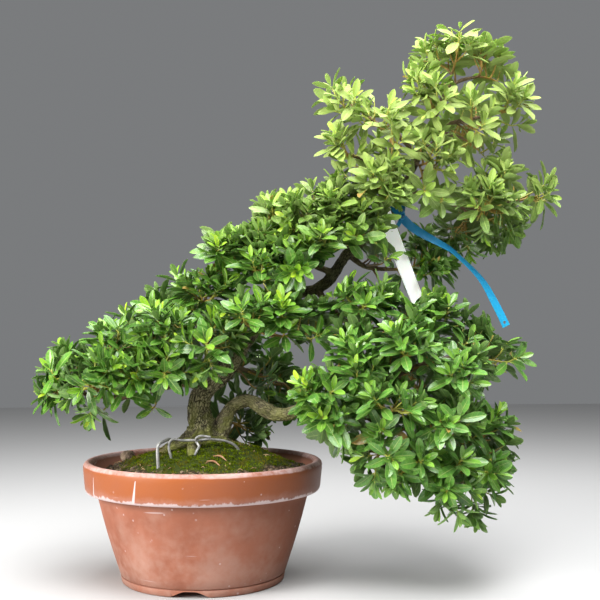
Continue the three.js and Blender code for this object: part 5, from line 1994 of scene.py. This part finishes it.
    def dress(
        self,
        name: str,
        nodes: Sequence[str],
        stems: list[Points],
        leaves: list[Leaf],
        template: Mesh,
        materials: list[Material],
    ) -> None:
        """Makes stems and leaves into a piece and hands it over.

        Args:
            name: The piece's name.
            nodes: The nodes that it replaces.
            stems: The lines of its stems and twigs.
            leaves: Its leaves.
            template: The modelled leaf.
            materials: The finishes of the leaves and of the stems.
        """
        blade, corners = self.blade, coordinates(template)
        root = np.array([leaf.root for leaf in leaves])
        along = np.array([leaf.along for leaf in leaves])
        face = np.array([leaf.face for leaf in leaves])
        numbers = np.array([[leaf.length, leaf.young, leaf.tint, leaf.curl, leaf.flush] for leaf in leaves])
        length, young, tint, curl, flush = (column[:, None] for column in numbers.T)
        x, y, lower = corners[:, 0], corners[:, 1], corners[:, 2] < -0.5
        width = length * blade.width_share * (0.9 + 0.2 * tint)
        wave = 0.05 * width * np.sin(2 * math.pi * (1.5 * y + curl)) * x**2
        pillow = 0.1 * width * (np.abs(x) - x**2)
        over = blade.fold * width * np.abs(x) * (1 + young) + pillow + wave - blade.thickness * lower
        over = over - blade.droop * (0.5 + curl) * (1.25 - 0.8 * young) * length * y**2
        points = (
            root[:, None]
            + along[:, None] * (length * y)[..., None]
            + np.cross(face, along)[:, None] * (width / 2 * x)[..., None]
            + face[:, None] * over[..., None]
        )
        mesh = many(template, self.shop.to_row(points), name)
        for key, values in (
            ("young", young**1.3 * flush), ("tint", tint), ("spot", np.where(curl > 0.996, 0.9, 0.2))
        ):
            give_values(mesh, key, np.repeat(values[:, 0], len(corners)))
        right, up = points[..., 0], points[..., 2]
        give_values(mesh, "crown", ramp(up, *self.crown_span).ravel())
        give_values(mesh, "cool", (ramp(right, 110.0, 70.0) * ramp(up, 370.0, -60.0)).ravel())
        self.map_faces(mesh, template, len(leaves))
        piece = self.shop.piece(name, mesh)
        mesh.materials.append(materials[0])
        twigs = self.shop.rods(name + "_stems", stems, 0)
        reach = np.linalg.norm(coordinates(twigs.data) - self.shop.to_row(stems[0][0, :3]), axis=1)
        give_values(twigs.data, "young", np.clip(reach / reach.max() * 1.1, 0, 1))
        twigs.data.materials.append(materials[1])
        join(piece, twigs)
        self.shop.hand_over(piece, Slot.LEAF, [], nodes, sharp=60.0)

    def map_faces(self, mesh: Mesh, template: Mesh, count: int) -> None:
        """Lays every leaf out flat: u across it, v along it, and 2 more on the u of a lower face.

        Args:
            mesh: The mesh of all the leaves.
            template: The modelled leaf.
            count: How many leaves there are.
        """
        corners = coordinates(template)
        edge = np.maximum(np.interp(corners[:, 1], self.blade.stations, self.blade.widths), 1e-3)
        flat = np.column_stack([0.5 + 0.5 * np.clip(corners[:, 0] / edge, -1, 1), corners[:, 1]])
        rows = []
        for face in template.polygons:
            own = list(face.vertices)
            rows.append(flat[own] + [2.0 * bool((corners[own, 2] < -0.5).any()), 0.0])
        layer = mesh.uv_layers.new(name="blade")
        layer.data.foreach_set("uv", np.tile(np.vstack(rows), (count, 1)).astype(np.float32).ravel())


# ---------------- wires, label and band
@dataclass
class Wires(Part):
    """The guy wire with its twisted end, and the pin over a root."""

    guy_radius: float = 1.6
    pin_radius: float = 2.0
    guy: tuple[Row, ...] = (
        (-38, -62, 132), (-38, -62, 152), (-42, -61, 170), (-41, -59, 178), (-36, -57, 180.5),
        (-26, -54, 179), (-10, -53, 179), (6, -52, 180), (14, -50, 179), (26, -46, 177), (37, -44, 172),
        (44, -42, 162), (47, -41, 142),
    )
    twist: tuple[Row, ...] = (
        (8, -53, 182.5), (-3, -54, 184), (-9, -56, 182), (-9, -53.5, 177), (-6, -56, 172), (-8, -60, 168),
        (-11, -63, 162),
    )
    pin: tuple[Row, ...] = (
        (-54, -76, 126), (-54, -76, 146), (-55, -75, 168), (-54, -71, 176), (-49, -60, 178.5),
        (-42, -36, 178.5), (-42, -27, 173), (-43, -24, 158), (-43, -24, 138),
    )

    def build(self) -> None:
        """Bends both wires."""
        material = Wiring().material()
        for name, node, routes, radius in (
            ("guy_wire_bent", "guy_wire", (self.guy, self.twist), self.guy_radius),
            ("root_pin_bent", "root_pin", (self.pin,), self.pin_radius),
        ):
            lines = [smooth_line([[*point, radius] for point in route], 8) for route in routes]
            self.shop.hand_over(self.shop.rods(name, lines, 4), Slot.WIRE, [material], [node])


@dataclass
class NameLabel(Part):
    """The blank plastic label that leans on the trunk's neck.

    Attributes:
        lean: How far it leans to the right at its foot, in degrees.
    """

    length: float = 145.0
    top_width: float = 20.0
    foot_width: float = 16.5
    thickness: float = 0.9
    corner: float = 3.0
    lean: float = 21.5
    top: Row = (226.8, -7.5, 472.5)
    cup: float = 0.7
    edge: float = 0.2

    def build(self) -> None:
        """Cuts the label out, cups it slightly and hangs it in its place."""
        grid = primitive(bpy.ops.mesh.primitive_grid_add, x_subdivisions=8, y_subdivisions=28, size=1.0)
        x, y, _ = coordinates(grid.data).T
        side, down = 2 * x, 0.5 - y
        half = (self.top_width + (self.foot_width - self.top_width) * down) / 2
        beside, along = side * half, -down * (self.length - self.corner)
        clipped = np.clip(np.abs(beside) - (half - self.corner), 0, None) * (down < 0.02)
        along = along + self.corner - clipped
        cos, sin = math.cos(math.radians(-self.lean)), math.sin(math.radians(-self.lean))
        right, up = beside * cos + along * sin, -beside * sin + along * cos
        plate = np.column_stack([right, self.cup * (1 - side**2) - self.cup, up]) + np.array(self.top)
        label = self.shop.shaped("name_label_plate", plate)
        modify(label, "SOLIDIFY", thickness=self.thickness * MM, offset=0.0)
        modify(label, "BEVEL", width=self.edge * MM, segments=2, limit_method="ANGLE")
        above, below = (0.9, 0.92, 0.88, 1.0), (0.95, 0.96, 0.93, 1.0)
        # The label's emission is a painted glow that lifts it out of the leaves' shade.
        finish = Plastic("label_plastic", above, below, (330.0, 470.0), 0.38, glow=0.2, painted_glow=0.36)
        self.shop.hand_over(label, Slot.LABEL, [finish.material()], ["name_label"])


@dataclass
class TieBand(Part):
    """The plastic tie: a loop round the neck, a knot, a short end and a long tail.

    Attributes:
        width: The width where it lies flat, and folded where it is folded.
        ring: The loop's radius round centre.
        tail: For each place on the tail, its x, its z and its twist in degrees.
    """

    width: float = 11.5
    folded: float = 5.0
    thickness: float = 0.7
    edge: float = 0.15
    ring: float = 7.8
    centre: Row = (250, -0.5, 481.0)
    depth: float = -17.0
    hole: float = 2.0
    tail: tuple[Row, ...] = (
        (254, 457, 0), (265, 446, 5), (281, 436, 18), (298, 427, 34), (316, 417, 46), (330, 405, 50),
        (343, 393, 48), (355, 380, 40), (364, 367, 30), (372, 352, 22), (381, 335, 18), (389, 318, 16),
    )
    knot: Row = (253, -14.5, 460)
    to_right: Row = (0.82, 0, -0.57)
    to_back: Row = (0.0, 1.0, 0.0)

    def strip(self, name: str, path: Points, sides: Points, width: float) -> Piece:
        """A flat band along a path.

        Args:
            name: The strip's name.
            path: The points of its middle.
            sides: The way across it at each point.
            width: Its width.

        Returns:
            The strip, with its thickness.
        """
        rows = smooth_line(np.column_stack([path, sides]), 6)
        middle, side = rows[:, :3], rows[:, 3:]
        way = np.gradient(middle, axis=0)
        way /= np.linalg.norm(way, axis=1)[:, None]
        side = side - way * np.einsum("ij,ij->i", side, way)[:, None]
        side /= np.linalg.norm(side, axis=1)[:, None]
        steps = len(rows) - 1
        grid = primitive(bpy.ops.mesh.primitive_grid_add, x_subdivisions=4, y_subdivisions=steps, size=1.0)
        points = coordinates(grid.data)
        index = np.rint((points[:, 1] + 0.5) * steps).astype(int)
        face = np.cross(way, side)[index]
        bow = 0.5 * (1 - (2 * points[:, 0]) ** 2)
        places = middle[index] + side[index] * points[:, :1] * width + face * bow[:, None]
        strip = self.shop.shaped(name, places)
        modify(strip, "SOLIDIFY", thickness=self.thickness * MM, offset=0.0)
        corner = math.radians(50)
        modify(strip, "BEVEL", width=self.edge * MM, segments=1, limit_method="ANGLE", angle_limit=corner)
        return strip

    def loop(self) -> list[Piece]:
        """The loop round the neck: a folded part behind, and a wide part in front.

        Returns:
            The two strips.
        """
        right, back, centre = (np.array(row, float) for row in (self.to_right, self.to_back, self.centre))
        turns = np.radians([-20, 25, 70, 115, 160, 205])
        round_neck = [centre + self.ring * (right * math.cos(a) + back * math.sin(a)) for a in turns]
        path = np.array([self.knot, [256.5, -8.5, 470], *round_neck, [243.5, -10, 474], self.knot])
        sides = np.tile([0.57, 0, 0.82], (len(path), 1))
        sides[[0, -1]] = [0.75, 0, 0.66]
        return [
            self.strip("tie_band_loop", path[:6], sides[:6], self.folded),
            self.strip("tie_band_face", path[5:], sides[5:], self.width),
        ]

    def knots(self) -> list[Piece]:
        """The knot's two turns, and the short end that hangs out of it.

        Returns:
            The three strips.
        """
        knot = np.array(self.knot, float)
        end = np.array([knot, [249.5, -16, 451], [246.5, -16, 446]])
        parts = [self.strip("tie_band_end", end, np.tile(self.to_right, (3, 1)), self.folded)]
        first, second = np.linspace(0, 6.0, 9), np.linspace(0.5, 5.2, 7)
        paths = (
            [knot + [4 * math.cos(a), -1.5 + math.sin(2 * a), 3.4 * math.sin(a)] for a in first],
            [knot + [2.6 * math.sin(a), -3.0, 4.2 * math.cos(a)] for a in second],
        )
        for number, path in enumerate(paths):
            sides = np.tile(self.to_back, (len(path), 1))
            parts.append(self.strip(f"tie_band_knot_{number}", np.array(path), sides, 4.5))
        return parts

    def long_tail(self) -> Piece:
        """The tail, twisted as it hangs, with a hole in its end.

        Returns:
            The tail's strip.
        """
        path = np.array([[x, self.depth, z] for x, z, _ in self.tail])
        path[0, 1] = self.knot[1]
        twist = np.radians([turn for _, _, turn in self.tail])[:, None]
        way = np.gradient(path, axis=0)
        sides = np.column_stack([-way[:, 2], np.zeros(len(path)), way[:, 0]])
        sides /= np.linalg.norm(sides, axis=1)[:, None]
        sides = sides * np.cos(twist) + np.array(self.to_back) * np.sin(twist)
        tail = self.strip("tie_band_tied", path, sides, self.width)
        bar = primitive(bpy.ops.mesh.primitive_cylinder_add, vertices=24, radius=1.0, depth=1.0)
        drill = coordinates(bar.data)[:, [0, 2, 1]] * [self.hole, 16.0, self.hole]
        cutter = self.shop.shaped("band_punch", drill + (path[-1] * 0.7 + path[-2] * 0.3))
        clean(cutter)
        cut(tail, cutter)
        return tail

    def build(self) -> None:
        """Ties the band."""
        parts = self.loop() + self.knots()
        band = self.long_tail()
        join(band, *parts)
        above, below = (0.012, 0.17, 0.34, 1.0), (0.02, 0.42, 0.75, 1.0)
        finish = Plastic("band_plastic", above, below, (320.0, 430.0), 0.34, glow=0.1, painted_glow=0.06)
        self.shop.hand_over(band, Slot.BAND, [finish.material()], ["tie_band"])


# ---------------- the studio
@dataclass
class Studio(Part):
    """The camera, the pale floor and the soft light.

    Attributes:
        yaw: How far the camera turns right, and pitch how far up, in radians.
        lamps: For each light, its name, its place, what it faces, its size, its power and its tint.
    """

    eye: Row = (0.0, -1300.0, 310.0)
    yaw: float = 0.094
    pitch: float = 0.032
    lens: float = 60.9
    floor_size: float = 6.0
    floor_tone: Colour = (0.46, 0.46, 0.46, 1.0)
    sky_tone: Colour = (0.72, 0.74, 0.76, 1.0)
    sky_strength: float = 0.27
    lamps: tuple[tuple[str, Row, Row, float, float, Row], ...] = (
        ("key", (-1250, -720, 620), (0, 0, 260), 0.7, 36.0, (1.0, 0.98, 0.95)),
        ("front", (200, -760, 1650), (180, 0, 380), 1.2, 53.0, (1.0, 1.0, 1.0)),
        ("top", (350, 250, 1500), (280, 0, 480), 1.1, 23.0, (1.0, 1.0, 1.0)),
    )

    def light(self, name: str, eye: Row, aim: Row, size: float, power: float, tint: Row) -> None:
        """Adds a square soft light that faces a point.

        Args:
            name: Its name.
            eye: Its place.
            aim: The point.
            size: Its side in metres.
            power: Its power in watts.
            tint: Its colour.
        """
        lamp = bpy.data.lights.new(name, "AREA")
        lamp.size = size
        lamp.energy = power
        lamp.color = tint
        made = self.shop.piece(name, lamp)
        start, end = Vector(self.shop.to_row(eye)), Vector(self.shop.to_row(aim))
        made.location = start
        made.rotation_euler = (end - start).to_track_quat("-Z", "Y").to_euler()

    def build(self) -> None:
        """Sets up the camera, the lights, the sky and the floor."""
        scene = bpy.context.scene
        camera = self.shop.piece("camera", bpy.data.cameras.new("camera"))
        camera.data.lens = self.lens
        camera.location = self.shop.to_row(self.eye)
        camera.rotation_euler = (math.pi / 2 + self.pitch, 0.0, -self.yaw)
        scene.camera = camera
        for lamp in self.lamps:
            self.light(*lamp)
        world = bpy.data.worlds.new("studio")
        world.use_nodes = True
        sky = world.node_tree.nodes["Background"].inputs
        sky["Color"].default_value = self.sky_tone
        sky["Strength"].default_value = self.sky_strength
        scene.world = world
        scene.view_settings.view_transform = "Standard"
        floor = primitive(bpy.ops.mesh.primitive_plane_add, size=self.floor_size)
        floor.name = "studio_floor"
        material, nodes = new_material("studio_floor")
        nodes.surface({"Base Color": self.floor_tone, "Roughness": 0.9})
        floor.data.materials.append(material)
        floor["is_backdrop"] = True


def main() -> None:
    """Builds every piece of the plant, in order."""
    logging.basicConfig(level=logging.INFO, format="%(message)s")
    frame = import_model()
    low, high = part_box("pot")
    shop = Workshop(Vector(((low.x + high.x) / 2, (low.y + high.y) / 2, low.z)))
    Studio(shop).build()
    wood = Wood(shop)
    low_corner, high_corner = (shop.from_row(np.array(corner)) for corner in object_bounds())
    Foliage(shop, wood, Blade(), (low_corner, high_corner)).build()
    pot = Pot(shop)
    pot.build()
    Mound(shop, pot).build()
    wood.build()
    Wires(shop).build()
    NameLabel(shop).build()
    TieBand(shop).build()
    drain = frame["nodes"]["drain_mesh"]
    black = Plastic("drain_plastic", (0.03, 0.03, 0.03, 1), (0.06, 0.06, 0.06, 1), (18.0, 21.0), 0.6)
    drain.data.materials.clear()
    drain.data.materials.append(black.material())


if __name__ == "__main__":
    main()
